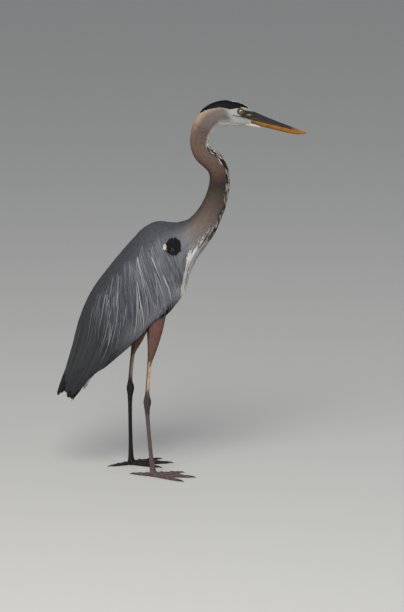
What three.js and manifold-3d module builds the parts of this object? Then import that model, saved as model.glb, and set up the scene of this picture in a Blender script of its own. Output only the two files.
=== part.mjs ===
// A great blue heron standing at rest: a still, life-size model in millimetres.
// +X is the way the bill points, +Y the bird's left side and +Z up. The soles stand at z = 0.
// Every line through the body runs from the bill towards the tail or down to the ground, so that
// "up" on a station is the bird's back side and "down" its front or belly side.
import * as THREE from "three";
import { mergeVertices } from "three/addons/utils/BufferGeometryUtils.js";
import Module from "manifold-3d";

const wasm = await Module();
wasm.setup();

// ---------------------------------------------------------------- driving dimensions
const GAP = 0.35; // clearance between neighbouring pieces
const EYE = { radius: 7, x: 245.5, side: 12, z: 908 };
const SIDES = { right: -1, left: 1 };

// Stations of the head and neck: [x, z, depth above the line, depth below it, half width].
const HEAD = [
  [274, 888, 19, 18, 10.5],
  [258, 892.5, 27, 27, 14.5],
  [241, 897.5, 29.5, 30, 17.5],
  [223, 900.5, 31, 31.5, 19.5],
  [202, 900.5, 31, 32, 20],
  [182, 895.5, 29, 29.5, 19],
];
const NECK = [
  [166, 883, 27, 27, 17.5],
  [151.5, 857, 26, 25.5, 16],
  [146, 826, 23, 22.5, 15],
  [156, 799, 23, 23, 15],
  [180.5, 777, 23.5, 27.5, 15.5],
  [193, 750, 22.5, 24, 16],
  [191, 706, 25.5, 25, 18],
  [174, 657, 29, 29, 22.5],
  [148, 615, 36, 36, 29],
];
// Stations of the trunk together with the wings folded on it.
const FOLDED = [
  [128.5, 597, 42, 38, 35],
  [112, 582, 63, 43, 42],
  [95, 567, 87, 45, 50],
  [64, 538.5, 95, 68, 62],
  [32, 509, 89, 100, 67],
  [-5, 456, 94, 102, 67],
  [-42, 400, 96, 84, 61],
  [-78.5, 342, 84, 63, 51],
  [-108, 294, 66, 42, 42],
  [-137, 246, 51, 19, 33],
  [-160, 212, 42, 24, 25],
  [-181, 181, 28, 16, 12],
];
// How deep the feathers of back and wings lie over the trunk at each of those stations:
// [above, below, at the sides]. Below, it is how far the belly lies above the lower edge of the
// folded wings. Behind the trunk it is the thickness of the flight feathers, which leave the
// space between the wings open below.
const COVER = [
  [-GAP, -GAP, -GAP],
  [3, 1, 3],
  [6, 1, 6],
  [8, 1, 9],
  [8, 2, 10],
  [8, 8, 10],
  [8, 18, 9],
  [7, 19, 8],
  [6, 14, 6.5],
  [5, -14, 5],
  [4.5, -14, 4.5],
  [4, -10, 4],
];
const ROUND_BODY = 2.3; // 2 is an ellipse, more is squarer
const ROUND_NECK = 2.15;

// ---------------------------------------------------------------- making solids
const LEFT = new THREE.Vector3(0, 1, 0);

// A three.js geometry as a solid that can be joined and cut.
function solidFrom(geometry) {
  const bare = geometry.clone();
  bare.deleteAttribute("normal");
  bare.deleteAttribute("uv");
  const merged = mergeVertices(bare, 1e-3);
  const vertProperties = merged.attributes.position.array;
  const solidOf = (triVerts) =>
    new wasm.Manifold(new wasm.Mesh({ numProp: 3, vertProperties, triVerts }));
  const corners = new Uint32Array(merged.index.array);
  const made = solidOf(corners);
  return made.volume() > 0 ? made : solidOf(corners.slice().reverse());
}

// Rings of points, each in the same order, as one closed solid.
function solidFromRings(rings) {
  const count = rings[0].length;
  const points = rings.flat();
  const index = [];
  for (let i = 0; i + 1 < rings.length; i++) {
    for (let k = 0; k < count; k++) {
      const a = i * count + k;
      const b = i * count + ((k + 1) % count);
      index.push(a, b, a + count, b, b + count, a + count);
    }
  }
  for (const [first, turned] of [[0, true], [(rings.length - 1) * count, false]]) {
    const middle = new THREE.Vector3();
    for (let k = 0; k < count; k++) middle.addScaledVector(points[first + k], 1 / count);
    points.push(middle);
    for (let k = 0; k < count; k++) {
      const pair = [first + k, first + ((k + 1) % count)];
      if (turned) pair.reverse();
      index.push(points.length - 1, ...pair);
    }
  }
  const geometry = new THREE.BufferGeometry().setFromPoints(points);
  geometry.setIndex(index);
  return solidFrom(geometry);
}

// A smooth body through stations { at, up, down, width }, from station number `from` to `to`,
// which may be fractions. `grow` makes it larger all round, and nothing goes below `floor`.
function loft(stations, options = {}) {
  const last = stations.length - 1;
  const { from = 0, to = last, step = 0.5, sides = 16, roundness = 2, grow = 0, floor } = options;
  const line = new THREE.CatmullRomCurve3(stations.map((s) => s.at));
  const sizes = new THREE.CatmullRomCurve3(
    stations.map((s) => new THREE.Vector3(s.up, s.down, s.width)),
  );
  const squared = (value) => Math.sign(value) * Math.abs(value) ** (2 / roundness);
  const ringAt = (station) => {
    const at = line.getPoint(station / last);
    const size = sizes.getPoint(station / last).addScalar(grow);
    const along = line.getTangent(station / last);
    const side = LEFT.clone().addScaledVector(along, -LEFT.dot(along)).normalize();
    const rise = new THREE.Vector3().crossVectors(side, along).normalize();
    return Array.from({ length: sides }, (_, k) => {
      const turn = (2 * Math.PI * k) / sides;
      const high = squared(Math.sin(turn));
      const point = at.clone().addScaledVector(side, size.z * squared(Math.cos(turn)));
      point.addScaledVector(rise, (high > 0 ? size.x : size.y) * high);
      if (floor !== undefined) point.z = Math.max(point.z, floor);
      return point;
    });
  };
  // Whole steps carry the rings, so that pieces cut from one line share their facets.
  const places = [from];
  for (let k = Math.ceil(from / step + 0.1); k < to / step - 0.1; k++) places.push(k * step);
  places.push(to);
  return solidFromRings(places.map(ringAt));
}

const midline = ([x, z, up, down, width]) => ({ at: new THREE.Vector3(x, 0, z), up, down, width });
const limb = ([x, y, z, depth, width]) => ({
  at: new THREE.Vector3(x, y, z),
  up: depth,
  down: depth,
  width,
});

// The corners of a side view outline moved outwards by `by`.
function widened(outline, by) {
  const corners = outline.map((corner) => new THREE.Vector2(...corner));
  const turn = THREE.ShapeUtils.isClockWise(corners) ? 1 : -1;
  const outward = (a, b) => {
    const way = b.clone().sub(a).normalize();
    return new THREE.Vector2(-way.y * turn, way.x * turn);
  };
  return corners.map((corner, i) => {
    const before = outward(corners.at(i - 1), corner);
    const after = outward(corner, corners[(i + 1) % corners.length]);
    const bisector = before.clone().add(after).normalize();
    const reach = by / Math.max(bisector.dot(after), 0.35);
    return corner.clone().addScaledVector(bisector, reach).toArray();
  });
}

// A slab with a side view outline of [x, z] corners, from `near` to `far` off the midline on one
// side of the bird.
function sideSlab(outline, side, near = -150, far = 150) {
  const shape = new THREE.Shape(outline.map((corner) => new THREE.Vector2(...corner)));
  const geometry = new THREE.ExtrudeGeometry(shape, { depth: far - near, bevelEnabled: false });
  geometry.rotateX(Math.PI / 2);
  geometry.translate(0, side > 0 ? far : -near, 0);
  return solidFrom(geometry);
}

const joined = (solids) => solids.reduce((whole, solid) => whole.add(solid));

const FINISH = {
  slate: { colour: 0x6b6d74 },
  darkSlate: { colour: 0x3a3b40 },
  mauve: { colour: 0x86766e },
  pale: { colour: 0xb9b8b4 },
  white: { colour: 0xd8d6cf },
  black: { colour: 0x15161a },
  chestnut: { colour: 0x8a5340 },
  scales: { colour: 0x574a44, roughness: 0.6 },
  paleScales: { colour: 0xb79a80, roughness: 0.6 },
  hornDark: { colour: 0x3d3b42, roughness: 0.45 },
  hornOrange: { colour: 0xc07a22, roughness: 0.45 },
  claw: { colour: 0x221e1c, roughness: 0.4 },
  eye: { colour: 0xd9c23a, roughness: 0.1 },
};
const bird = new THREE.Group();

// Adds a solid to the bird as one named mesh.
function add(name, solid, { colour, roughness = 0.8 }) {
  const { vertProperties, triVerts } = solid.getMesh();
  const geometry = new THREE.BufferGeometry();
  geometry.setAttribute("position", new THREE.BufferAttribute(vertProperties, 3));
  geometry.setIndex(new THREE.BufferAttribute(triVerts, 1));
  geometry.computeVertexNormals();
  const material = new THREE.MeshStandardMaterial({ color: colour, roughness, metalness: 0 });
  const mesh = new THREE.Mesh(geometry, material);
  mesh.name = name;
  bird.add(mesh);
}

// ---------------------------------------------------------------- bill
// Both halves follow the line on which they close, from the tip to the base:
// [x, z, depth of the upper half, depth of the lower half, half width].
const BILL = [
  [405.5, 851.6, 0.9, 0.9, 0.9],
  [396, 854, 2.4, 5.4, 2.2],
  [380, 858.3, 4.8, 9.6, 3.4],
  [355, 865.2, 7.4, 11.8, 4.8],
  [330, 871.4, 11, 11.8, 6.2],
  [305, 877.2, 15.5, 11.4, 7.8],
  [285, 882.6, 19, 11, 9.2],
  [266, 888, 21, 10, 10.4],
];
const BILL_EDGE = 0.5; // how far each half reaches past its widest level towards the other
const BILL_SHAPE = { sides: 10, step: 1 };
const upperBill = BILL.map(([x, z, depth, , width]) =>
  midline([x, z + BILL_EDGE + GAP / 2, depth - BILL_EDGE, BILL_EDGE, width]),
);
const lowerBill = BILL.map(([x, z, , depth, width]) =>
  midline([x, z - BILL_EDGE - GAP / 2, BILL_EDGE, depth - BILL_EDGE, width]),
);
add("bill_upper", loft(upperBill, BILL_SHAPE), FINISH.hornDark);
add("bill_lower", loft(lowerBill, BILL_SHAPE), FINISH.hornOrange);
const billRoom = joined([upperBill, lowerBill].map((half) => loft(half, { ...BILL_SHAPE, grow: GAP })));

// ---------------------------------------------------------------- head, eyes and crest
const UPPER_BODY = [...HEAD, ...NECK, ...FOLDED.slice(0, 2)].map(midline);
const HEAD_ENDS = [0.25, HEAD.length - 0.4];
const FEATHERED_CHIN = [
  [299, 864.5, 0.8, 0.8, 0.8],
  [288, 868.5, 3, 3.6, 5],
  [273, 872.5, 4, 6, 8],
  [254, 878, 5, 8, 9],
].map(midline);
// The black stripe over each eye, which ends in short plumes on the nape.
const CREST = [
  [262, 911],
  [250, 912],
  [226, 911],
  [204, 917],
  [184, 916],
  [167, 913],
  [148, 896],
  [158, 915],
  [170, 932],
  [200, 945],
  [240, 940],
];
const CREST_RISE = 1.3;
const CREST_PARTING = 5; // the pale forehead between the two stripes, from the midline
const headLoft = (grow, before = 0, beyond = 0) =>
  loft(UPPER_BODY, {
    from: HEAD_ENDS[0] - before,
    to: HEAD_ENDS[1] + beyond,
    roundness: ROUND_NECK,
    grow,
  });
const eyeBall = (side, radius) => {
  const ball = new THREE.SphereGeometry(radius, 12, 6);
  ball.rotateX(Math.PI / 2);
  ball.translate(EYE.x, side * EYE.side, EYE.z);
  return solidFrom(ball);
};
let head = headLoft(0).add(loft(FEATHERED_CHIN, { sides: 8, step: 1 })).subtract(billRoom);
for (const [name, side] of Object.entries(SIDES)) {
  head = head.subtract(eyeBall(side, EYE.radius + GAP));
  add(`eye_${name}`, eyeBall(side, EYE.radius), FINISH.eye);
  const stripe = headLoft(CREST_RISE, 0, 0.3)
    .subtract(headLoft(GAP, 0.2, 0.5))
    .intersect(sideSlab(CREST, side, CREST_PARTING))
    .subtract(eyeBall(side, EYE.radius + GAP));
  add(`crest_${name}`, stripe, FINISH.black);
}
add("head", head, FINISH.white);

// ---------------------------------------------------------------- neck, in three lengths
const NECK_END = 0.65; // how far the neck runs on from its last station towards the trunk's first
const NECK_CUTS = [0, 3, 6, NECK.length + NECK_END - 0.6].map((way) => HEAD_ENDS[1] + way);
const CUT = 0.008; // half of the cut between two lengths, in stations
["neck_upper", "neck_middle", "neck_lower"].forEach((name, i) => {
  const ends = { from: NECK_CUTS[i] + CUT, to: NECK_CUTS[i + 1] - CUT };
  add(name, loft(UPPER_BODY, { ...ends, roundness: ROUND_NECK }), FINISH.mauve);
});

// ---------------------------------------------------------------- trunk
// The trunk's own line takes in the last two stations of the neck, so that both meet squarely.
const NECK_ROOT = NECK.slice(-2).map((station) => station.map((size, i) => (i > 1 ? size + GAP : size)));
const underCover = [
  ...NECK_ROOT.map(midline),
  ...FOLDED.map(([x, z, up, down, width], i) => {
    const [above, below, beside] = COVER[i];
    return midline([x, z, up - above, down - below, width - beside]);
  }),
];
const TRUNK_ENDS = [1 + NECK_END + CUT, 10];
const trunkLoft = (grow, beyond) =>
  loft(underCover, {
    from: TRUNK_ENDS[0] - beyond,
    to: TRUNK_ENDS[1] + beyond,
    roundness: ROUND_BODY,
    grow,
  });
add("trunk", trunkLoft(-GAP, 0), FINISH.slate);
const trunkRoom = trunkLoft(0, CUT);

// ---------------------------------------------------------------- legs
// Each leg is one line: [x, y away from the midline, z, half depth, half width].
const LEGS = {
  right: [
    [41, 26, 412, 27, 14],
    [37, 32, 373, 22, 14],
    [34.5, 36, 350, 17.5, 12.5],
    [31, 39, 325, 12.5, 10.5],
    [27, 41, 303, 8, 8],
    [23.5, 43, 287, 5.4, 4.8],
    [20.5, 44.5, 250, 5, 4.2],
    [18, 46, 212, 5.3, 4.6],
    [17.2, 47, 188, 10, 7.2],
    [17, 47.4, 171, 6.6, 5.4],
    [18.2, 47.8, 148, 5, 3.9],
    [21.5, 48.8, 105, 4.7, 3.7],
    [26, 50.2, 55, 5, 4],
    [29.5, 51.2, 24, 6.4, 5.4],
    [31, 51.5, 10, 8.5, 7.5],
  ],
  left: [
    [14, 26, 405, 27, 14],
    [5, 32, 367, 22, 14],
    [-2, 36, 344, 17.5, 12.5],
    [-9, 39, 321, 12.5, 10.5],
    [-15, 41, 303, 8, 8],
    [-18.5, 43, 290, 5.4, 4.8],
    [-22.5, 44.5, 257, 5, 4.2],
    [-25.2, 46, 222, 5.3, 4.6],
    [-25.8, 47, 199, 10, 7.2],
    [-26.3, 47.4, 182, 6.6, 5.4],
    [-26.6, 47.8, 158, 5, 3.9],
    [-26.2, 48.8, 110, 4.7, 3.7],
    [-25.5, 50.2, 57, 5, 4],
    [-25, 51.2, 24, 6.4, 5.4],
    [-24.5, 51.5, 10, 8.5, 7.5],
  ],
};
const LEG_PARTS = { thigh: [0, 5], shank: [5, 7.4], tarsus: [7.4, 13.4] };
const FOOT_HEADING = 7; // degrees that the middle toe points outwards
// Toes: [name, degrees outwards from the middle toe, length, thickness].
const TOES = [
  ["middle", 0, 92, 1],
  ["inner", -29, 70, 0.95],
  ["outer", 27, 78, 0.95],
  ["hind", 192, 46, 0.85],
];
// Sections along a toe: [part of its length, height of the middle, half depth, half width].
const TOE_SECTIONS = [
  [0, 7.5, 7, 6],
  [0.14, 4.6, 5.4, 5.2],
  [0.32, 4.2, 5.2, 5.6],
  [0.5, 3.2, 4, 4.4],
  [0.7, 3.5, 4.3, 4.6],
  [1, 2.4, 2.6, 2.8],
];
const CLAW_SECTIONS = [
  [0, 2.6, 2.2, 1.9],
  [6, 3, 1.9, 1.5],
  [11, 2.2, 1.2, 0.9],
  [14.5, 0.8, 0.5, 0.4],
];
const thighRoom = {};
for (const [name, side] of Object.entries(SIDES)) {
  const line = LEGS[name].map(([x, y, ...rest]) => limb([x, side * y, ...rest]));
  const [ankleX, ankleY] = LEGS[name].at(-1);
  const along = (degrees, distance, height, depth, width) => {
    const turn = side * THREE.MathUtils.degToRad(FOOT_HEADING + degrees);
    const x = ankleX + distance * Math.cos(turn);
    return limb([x, side * ankleY + distance * Math.sin(turn), height, depth, width]);
  };
  const legShape = { sides: 8, step: 1 };
  const toes = TOES.map(([, degrees, length, thickness]) => {
    const stations = TOE_SECTIONS.map(([part, height, depth, width]) =>
      along(degrees, part * length, height, depth * thickness, width * thickness),
    );
    return loft(stations, { sides: 6, step: 1, floor: 0 });
  });
  const ankle = loft(line, { ...legShape, from: LEG_PARTS.tarsus[1] + CUT, floor: 0 });
  for (const [toe, degrees, length] of TOES) {
    const stations = CLAW_SECTIONS.map(([distance, ...size]) =>
      along(degrees, length + GAP + distance, ...size),
    );
    add(`claw_${toe}_${name}`, loft(stations, { sides: 6, step: 1, floor: 0 }), FINISH.claw);
  }
  add(`toes_${name}`, joined([ankle, ...toes]), FINISH.scales);
  thighRoom[name] = loft(line, { ...legShape, to: 5, grow: GAP });
  for (const [part, [from, to]] of Object.entries(LEG_PARTS)) {
    const cut = { from: from + CUT, to: to - CUT };
    const length = loft(line, { ...legShape, ...cut });
    const finish = { thigh: FINISH.chestnut, shank: FINISH.paleScales, tarsus: FINISH.scales };
    add(`${part}_${name}`, part === "thigh" ? length.subtract(trunkRoom) : length, finish[part]);
  }
}

// ---------------------------------------------------------------- back and wings
// The wings don't meet under the belly: a squarish channel parts their lower edges.
const CHANNEL_SHARE = 0.55; // its part of the width at each station
const channel = FOLDED.map(([x, z, , down, width]) => midline([x, z, 0, down + 10, width * CHANNEL_SHARE]));
const coverShape = { roundness: ROUND_BODY };
const cover = loft(FOLDED.map(midline), coverShape)
  .subtract(loft(underCover, coverShape))
  .subtract(loft(channel, { roundness: 5, sides: 12, to: 9.5 }));

// The zigzag of pointed plume tips between two places on a side view outline, each plume
// `length` long and hanging at `lean` radians.
function pointedTips([startX, startZ], [endX, endZ], count, length, lean) {
  const { lerp } = THREE.MathUtils;
  const between = (part) => [lerp(startX, endX, part), lerp(startZ, endZ, part)];
  return Array.from({ length: count }, (_, i) => {
    const [x, z] = between((i + 0.5) / count);
    return [between(i / count), [x + length * Math.cos(lean), z + length * Math.sin(lean)]];
  }).flat();
}
// Side view outlines of the parts that lie over the trunk, each cut out of the ones after it.
const BACK = [
  [140, 640],
  [112, 598],
  [61, 604],
  [24, 585],
  [-14, 551],
  [-52, 512],
  [-90, 462],
  [-120, 411],
  [-150, 350],
  [-190, 400],
  [0, 640],
];
const SCAPULARS = [
  [61, 604],
  [52, 545],
  ...pointedTips([48, 480], [-80, 385], 4, 60, -1.9),
  [-80, 385],
  [-92, 432],
  [-120, 411],
  [-60, 560],
];
const PATCH = [
  [101, 566],
  [97, 583],
  [84, 590],
  [67, 582],
  [59, 567],
  [80, 560],
  [93, 548],
];
const COVERTS = [
  [104, 620],
  [109, 560],
  [113, 440],
  [105, 395],
  [70, 365],
  [12, 325],
  [0, 343],
  [-32, 383],
  [-17, 428],
  [-40, 500],
  [0, 660],
];
const SECONDARIES = [
  [20, 345],
  [-37, 275],
  [-122, 235],
  [-122, 262],
  [-190, 285],
  [-190, 400],
  [0, 600],
];
// The primaries end in a few separate tips.
const PRIMARIES = [
  [-100, 285],
  [-128, 242],
  [-141, 217],
  [-147, 207],
  [-160, 201],
  [-172, 197],
  [-177, 190],
  [-181, 181],
  [-189, 191],
  [-197, 197],
  [-215, 198],
  [-200, 330],
];
add("mantle", cover.intersect(sideSlab(BACK, 1)), FINISH.slate);
const wingsOnly = cover.subtract(sideSlab(widened(BACK, GAP), 1));
const WING_PARTING = 0.8; // from the midline to each wing, behind the back
const WING_PARTS = [
  ["scapulars", SCAPULARS, FINISH.pale],
  ["shoulder_patch", PATCH, FINISH.black],
  ["wing_coverts", COVERTS, FINISH.slate],
  ["wing_secondaries", SECONDARIES, FINISH.darkSlate],
  ["wing_primaries", PRIMARIES, FINISH.black],
];
for (const [name, side] of Object.entries(SIDES)) {
  let uncut = wingsOnly.subtract(thighRoom[name]);
  for (const [part, outline, finish] of WING_PARTS) {
    add(`${part}_${name}`, uncut.intersect(sideSlab(outline, side, WING_PARTING)), finish);
    uncut = uncut.subtract(sideSlab(widened(outline, GAP), side, 0));
  }
}

// ---------------------------------------------------------------- tail and breast plumes
const TAIL = [
  [-106, 300, 5, 4, 22],
  [-121, 267, 4, 3.5, 23],
  [-142, 229, 3.2, 2.5, 21],
  [-159, 197, 2.2, 1.8, 16],
  [-165, 186, 1, 1, 10],
].map(midline);
add("tail", loft(TAIL, { sides: 12, step: 1 }).subtract(trunkRoom), FINISH.darkSlate);
// Long narrow plumes hang from the lower neck over the breast, side by side:
// [distance from the midline, length], each pair alike on both sides.
const PLUMES = [
  [0, 1],
  [9, 0.82],
  [18, 0.94],
];
// [x, z, half depth, half width] down the longest of them.
const PLUME_LINE = [
  [157, 571, 3, 5],
  [149, 556, 6, 8],
  [133, 531, 5.5, 8],
  [120, 498, 3.5, 5.5],
  [113.5, 452, 0.6, 0.6],
];
const plume = (side, off, length) => {
  const stations = PLUME_LINE.map(([x, z, depth, width], i) =>
    limb([x - off * 0.35, side * off, PLUME_LINE[0][1] + (z - PLUME_LINE[0][1]) * length, depth, width]),
  );
  return loft(stations, { sides: 6, step: 1 });
};
const plumes = joined(
  PLUMES.flatMap(([off, length]) => (off ? [1, -1] : [1]).map((side) => plume(side, off, length))),
);
add("breast_plumes", plumes.subtract(trunkRoom), FINISH.pale);

// The model's origin is at the middle of its box, on the ground.
const middle = new THREE.Box3().setFromObject(bird).getCenter(new THREE.Vector3());
bird.position.set(-middle.x, -middle.y, 0);
bird.updateMatrixWorld(true);
export default bird;
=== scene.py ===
"""A great blue heron standing at rest, as a life-size museum model.

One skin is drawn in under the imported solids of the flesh. Feathers lie over it as closed vanes,
tract by tract, and the bill, eyes, lids, scaled legs and claws are pieces of their own.
"""
import math

import bpy
import numpy as np
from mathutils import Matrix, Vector
from mathutils.bvhtree import BVHTree


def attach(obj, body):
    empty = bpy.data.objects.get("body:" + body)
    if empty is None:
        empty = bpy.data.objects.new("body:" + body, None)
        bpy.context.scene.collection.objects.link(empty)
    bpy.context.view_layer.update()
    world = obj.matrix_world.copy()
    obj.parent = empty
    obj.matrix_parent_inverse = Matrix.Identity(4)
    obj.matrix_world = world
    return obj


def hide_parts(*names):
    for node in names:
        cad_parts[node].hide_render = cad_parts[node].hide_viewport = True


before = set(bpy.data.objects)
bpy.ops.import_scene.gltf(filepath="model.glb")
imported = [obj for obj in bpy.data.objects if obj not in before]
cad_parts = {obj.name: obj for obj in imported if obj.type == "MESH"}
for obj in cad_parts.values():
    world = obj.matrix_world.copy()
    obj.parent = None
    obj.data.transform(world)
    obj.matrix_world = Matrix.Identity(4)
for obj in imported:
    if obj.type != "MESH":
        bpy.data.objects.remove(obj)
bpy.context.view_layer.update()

# ------------------------------------------------------------------ camera, floor and light
# The bird is seen from its right side and a little from above, from ten metres away. It stands
# on a plain pale floor under a large soft light, with a weaker one filling its shaded side.
MM = 0.001
FRAME_PIXELS = (404, 612)
METRES_PER_PIXEL = 2.45 * MM
AIM = Vector((51.1, 0, 419.6)) * MM
CAMERA_DISTANCE = 10.0
CAMERA_ELEVATION = math.radians(14)
SENSOR_HEIGHT = 24  # mm

camera = bpy.data.objects.new("camera", bpy.data.cameras.new("camera"))
away = Vector((0, -math.cos(CAMERA_ELEVATION), math.sin(CAMERA_ELEVATION)))
camera.location = AIM + CAMERA_DISTANCE * away
camera.rotation_euler = away.to_track_quat("Z", "Y").to_euler()
camera.data.sensor_fit = "VERTICAL"
camera.data.sensor_height = SENSOR_HEIGHT
camera.data.lens = SENSOR_HEIGHT * CAMERA_DISTANCE / (FRAME_PIXELS[1] * METRES_PER_PIXEL)
camera.data.clip_end = 200
bpy.context.scene.collection.objects.link(camera)
bpy.context.scene.camera = camera
bpy.context.scene.view_settings.view_transform = "Standard"


def srgb(red, green, blue):
    """A colour of 0 to 255 as seen on a screen, in the linear numbers that shaders take."""
    channel = np.array([red, green, blue]) / 255
    return np.where(channel > 0.04045, ((channel + 0.055) / 1.055) ** 2.4, channel / 12.92)


def plain_material(name, colour, roughness):
    """A material with one shader, and that shader."""
    material = bpy.data.materials.new(name)
    material.use_nodes = True
    shader = material.node_tree.nodes["Principled BSDF"]
    shader.inputs["Base Color"].default_value = (*colour, 1)
    shader.inputs["Roughness"].default_value = roughness
    return material, shader


def soft_light(name, azimuth, elevation, distance, size, watts, colour):
    """A square lamp that looks at the bird from a direction given in degrees."""
    lamp = bpy.data.objects.new(name, bpy.data.lights.new(name, "AREA"))
    a, e = math.radians(azimuth), math.radians(elevation)
    way = Vector((math.sin(a) * math.cos(e), -math.cos(a) * math.cos(e), math.sin(e)))
    lamp.location = AIM + distance * way
    lamp.rotation_euler = way.to_track_quat("Z", "Y").to_euler()
    lamp.data.size = size
    lamp.data.energy = watts
    lamp.data.color = colour
    bpy.context.scene.collection.objects.link(lamp)


FLOOR_RADIUS = 40
LAMPS = {  # degrees from the camera's side and up, metres away and across, watts, colour
    "key_light": (-18, 48, 4.5, 2.6, 172, (1.0, 0.965, 0.92)),
    "fill_light": (55, 25, 5.0, 3.5, 50, (0.93, 0.96, 1.0)),
}
SKY_COLOUR, SKY_STRENGTH = srgb(214, 218, 222), 0.46
bpy.ops.mesh.primitive_circle_add(vertices=96, radius=FLOOR_RADIUS, fill_type="NGON")
floor = bpy.context.object
floor.name = "floor"
floor.data.materials.append(plain_material("floor_paint", srgb(196, 196, 194), 0.9)[0])
for lamp_name, settings in LAMPS.items():
    soft_light(lamp_name, *settings)
world = bpy.data.worlds.new("studio")
world.use_nodes = True
sky = world.node_tree.nodes["Background"].inputs
sky["Color"].default_value = (*SKY_COLOUR, 1)
sky["Strength"].default_value = SKY_STRENGTH
bpy.context.scene.world = world

# ------------------------------------------------------------------ the skin
# The feathered body is one long form from the bill's root over the neck and the back to the wing
# tips. Its skin is a fine net drawn over the solids and sunk by the depth of the coat, so that
# no cut between them shows. Every feather later finds its place on the same form.
BODY_SHIFT = 100.92  # mm from the middle of the frame forwards to the body's own zero
# Points down the middle of the body, each with a distance that clears its own flesh: x, z, reach.
BODY_LINE = [
    (274, 888, 34), (258, 892.5, 42), (241, 897.5, 46), (223, 900.5, 48), (202, 900.5, 48),
    (182, 895.5, 44), (166, 883, 38), (151.5, 857, 34), (146, 826, 32), (156, 799, 32),
    (180.5, 777, 34), (193, 750, 34), (191, 706, 38), (174, 657, 46), (148, 615, 60),
    (128.5, 597, 72), (112, 582, 95), (95, 567, 125), (64, 538.5, 135), (32, 509, 140),
    (-5, 456, 145), (-42, 400, 135), (-78.5, 342, 125), (-108, 294, 105), (-137, 246, 80),
    (-160, 212, 65), (-181, 181, 45),
]
BODY_NODES = ["head", "neck_upper", "neck_middle", "neck_lower", "trunk", "mantle", "tail"] + [
    f"{part}_{side}"
    for part in ("scapulars", "shoulder_patch", "wing_coverts", "wing_secondaries", "wing_primaries")
    for side in ("right", "left")
]
SIDES = {"right": -1, "left": 1}  # the sign of y on each side
HEAD_LENGTH = 0.125  # metres of the form that get the finer net
HEAD_STEP, BODY_STEP = 1.0 * MM, 2.5 * MM
BODY_COLUMNS = 144  # points of the net round the body
FACE_TAPER = [(0.0, 4.6), (0.006, 3.0), (0.014, 2.2), (0.024, 1.0), (0.036, 0.0)]  # s, and mm inwards
TURN = 2 * math.pi


def smooth_line(points, spacing):
    """A curve through points, as places `spacing` apart along it, with the distance to each."""
    points = np.array(points, float)
    ends = np.vstack([2 * points[0] - points[1], points, 2 * points[-1] - points[-2]])
    t = np.linspace(0, 1, 24, endpoint=False)[:, None]
    spans = []
    for a, b, c, d in zip(ends[:-3], ends[1:-2], ends[2:-1], ends[3:]):
        spans.append(0.5 * (2 * b + (c - a) * t + (2 * a - 5 * b + 4 * c - d) * t**2
                            + (3 * b - a - 3 * c + d) * t**3))
    dense = np.vstack(spans + [points[-1:]])
    run = np.concatenate([[0], np.cumsum(np.linalg.norm(np.diff(dense[:, :3], axis=0), axis=1))])
    at = [0]
    while at[-1] < run[-1]:
        at.append(at[-1] + (spacing(at[-1]) if callable(spacing) else spacing))
    at[-1] = run[-1]
    return np.array(at), np.stack([np.interp(at, run, dense[:, k]) for k in range(dense.shape[1])], axis=1)


def in_frame(x, y, z, *sizes):
    """A point of the body's own drawing, in mm, as a point of the frame in metres, with its sizes."""
    return ((x - BODY_SHIFT) * MM, y * MM, z * MM, *(size * MM for size in sizes))


def angles_round(columns):
    """Equal steps of angle all the way round, in radians."""
    return np.arange(columns) / columns * TURN


def sized(s, at, sizes):
    """A size in metres that changes down a form, from sizes in mm at places in metres."""
    return np.interp(s, at, sizes) * MM


def unit(vectors):
    """Vectors made 1 long."""
    return vectors / np.maximum(np.linalg.norm(vectors, axis=-1, keepdims=True), 1e-12)


def blurred(grid, sigma, axis, wrap):
    """A grid of numbers made smooth along one axis."""
    reach = int(3 * sigma + 1)
    weights = np.exp(-0.5 * (np.arange(-reach, reach + 1) / max(sigma, 1e-6)) ** 2)
    total = np.zeros_like(grid)
    for offset, weight in zip(range(-reach, reach + 1), weights):
        if wrap:
            total += weight * np.roll(grid, offset, axis=axis)
        else:
            index = np.clip(np.arange(grid.shape[axis]) - offset, 0, grid.shape[axis] - 1)
            total += weight * np.take(grid, index, axis=axis)
    return total / weights.sum()


def directions(at, middle, columns):
    """The directions round a line, from its back or upper side over the bird's right."""
    along = unit(np.gradient(middle, at, axis=0))
    left = unit(np.array([0, 1, 0]) - along * along[:, 1:2])
    rise = np.cross(left, along)
    turn = angles_round(columns)
    return np.cos(turn)[None, :, None] * rise[:, None] - np.sin(turn)[None, :, None] * left[:, None]


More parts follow.
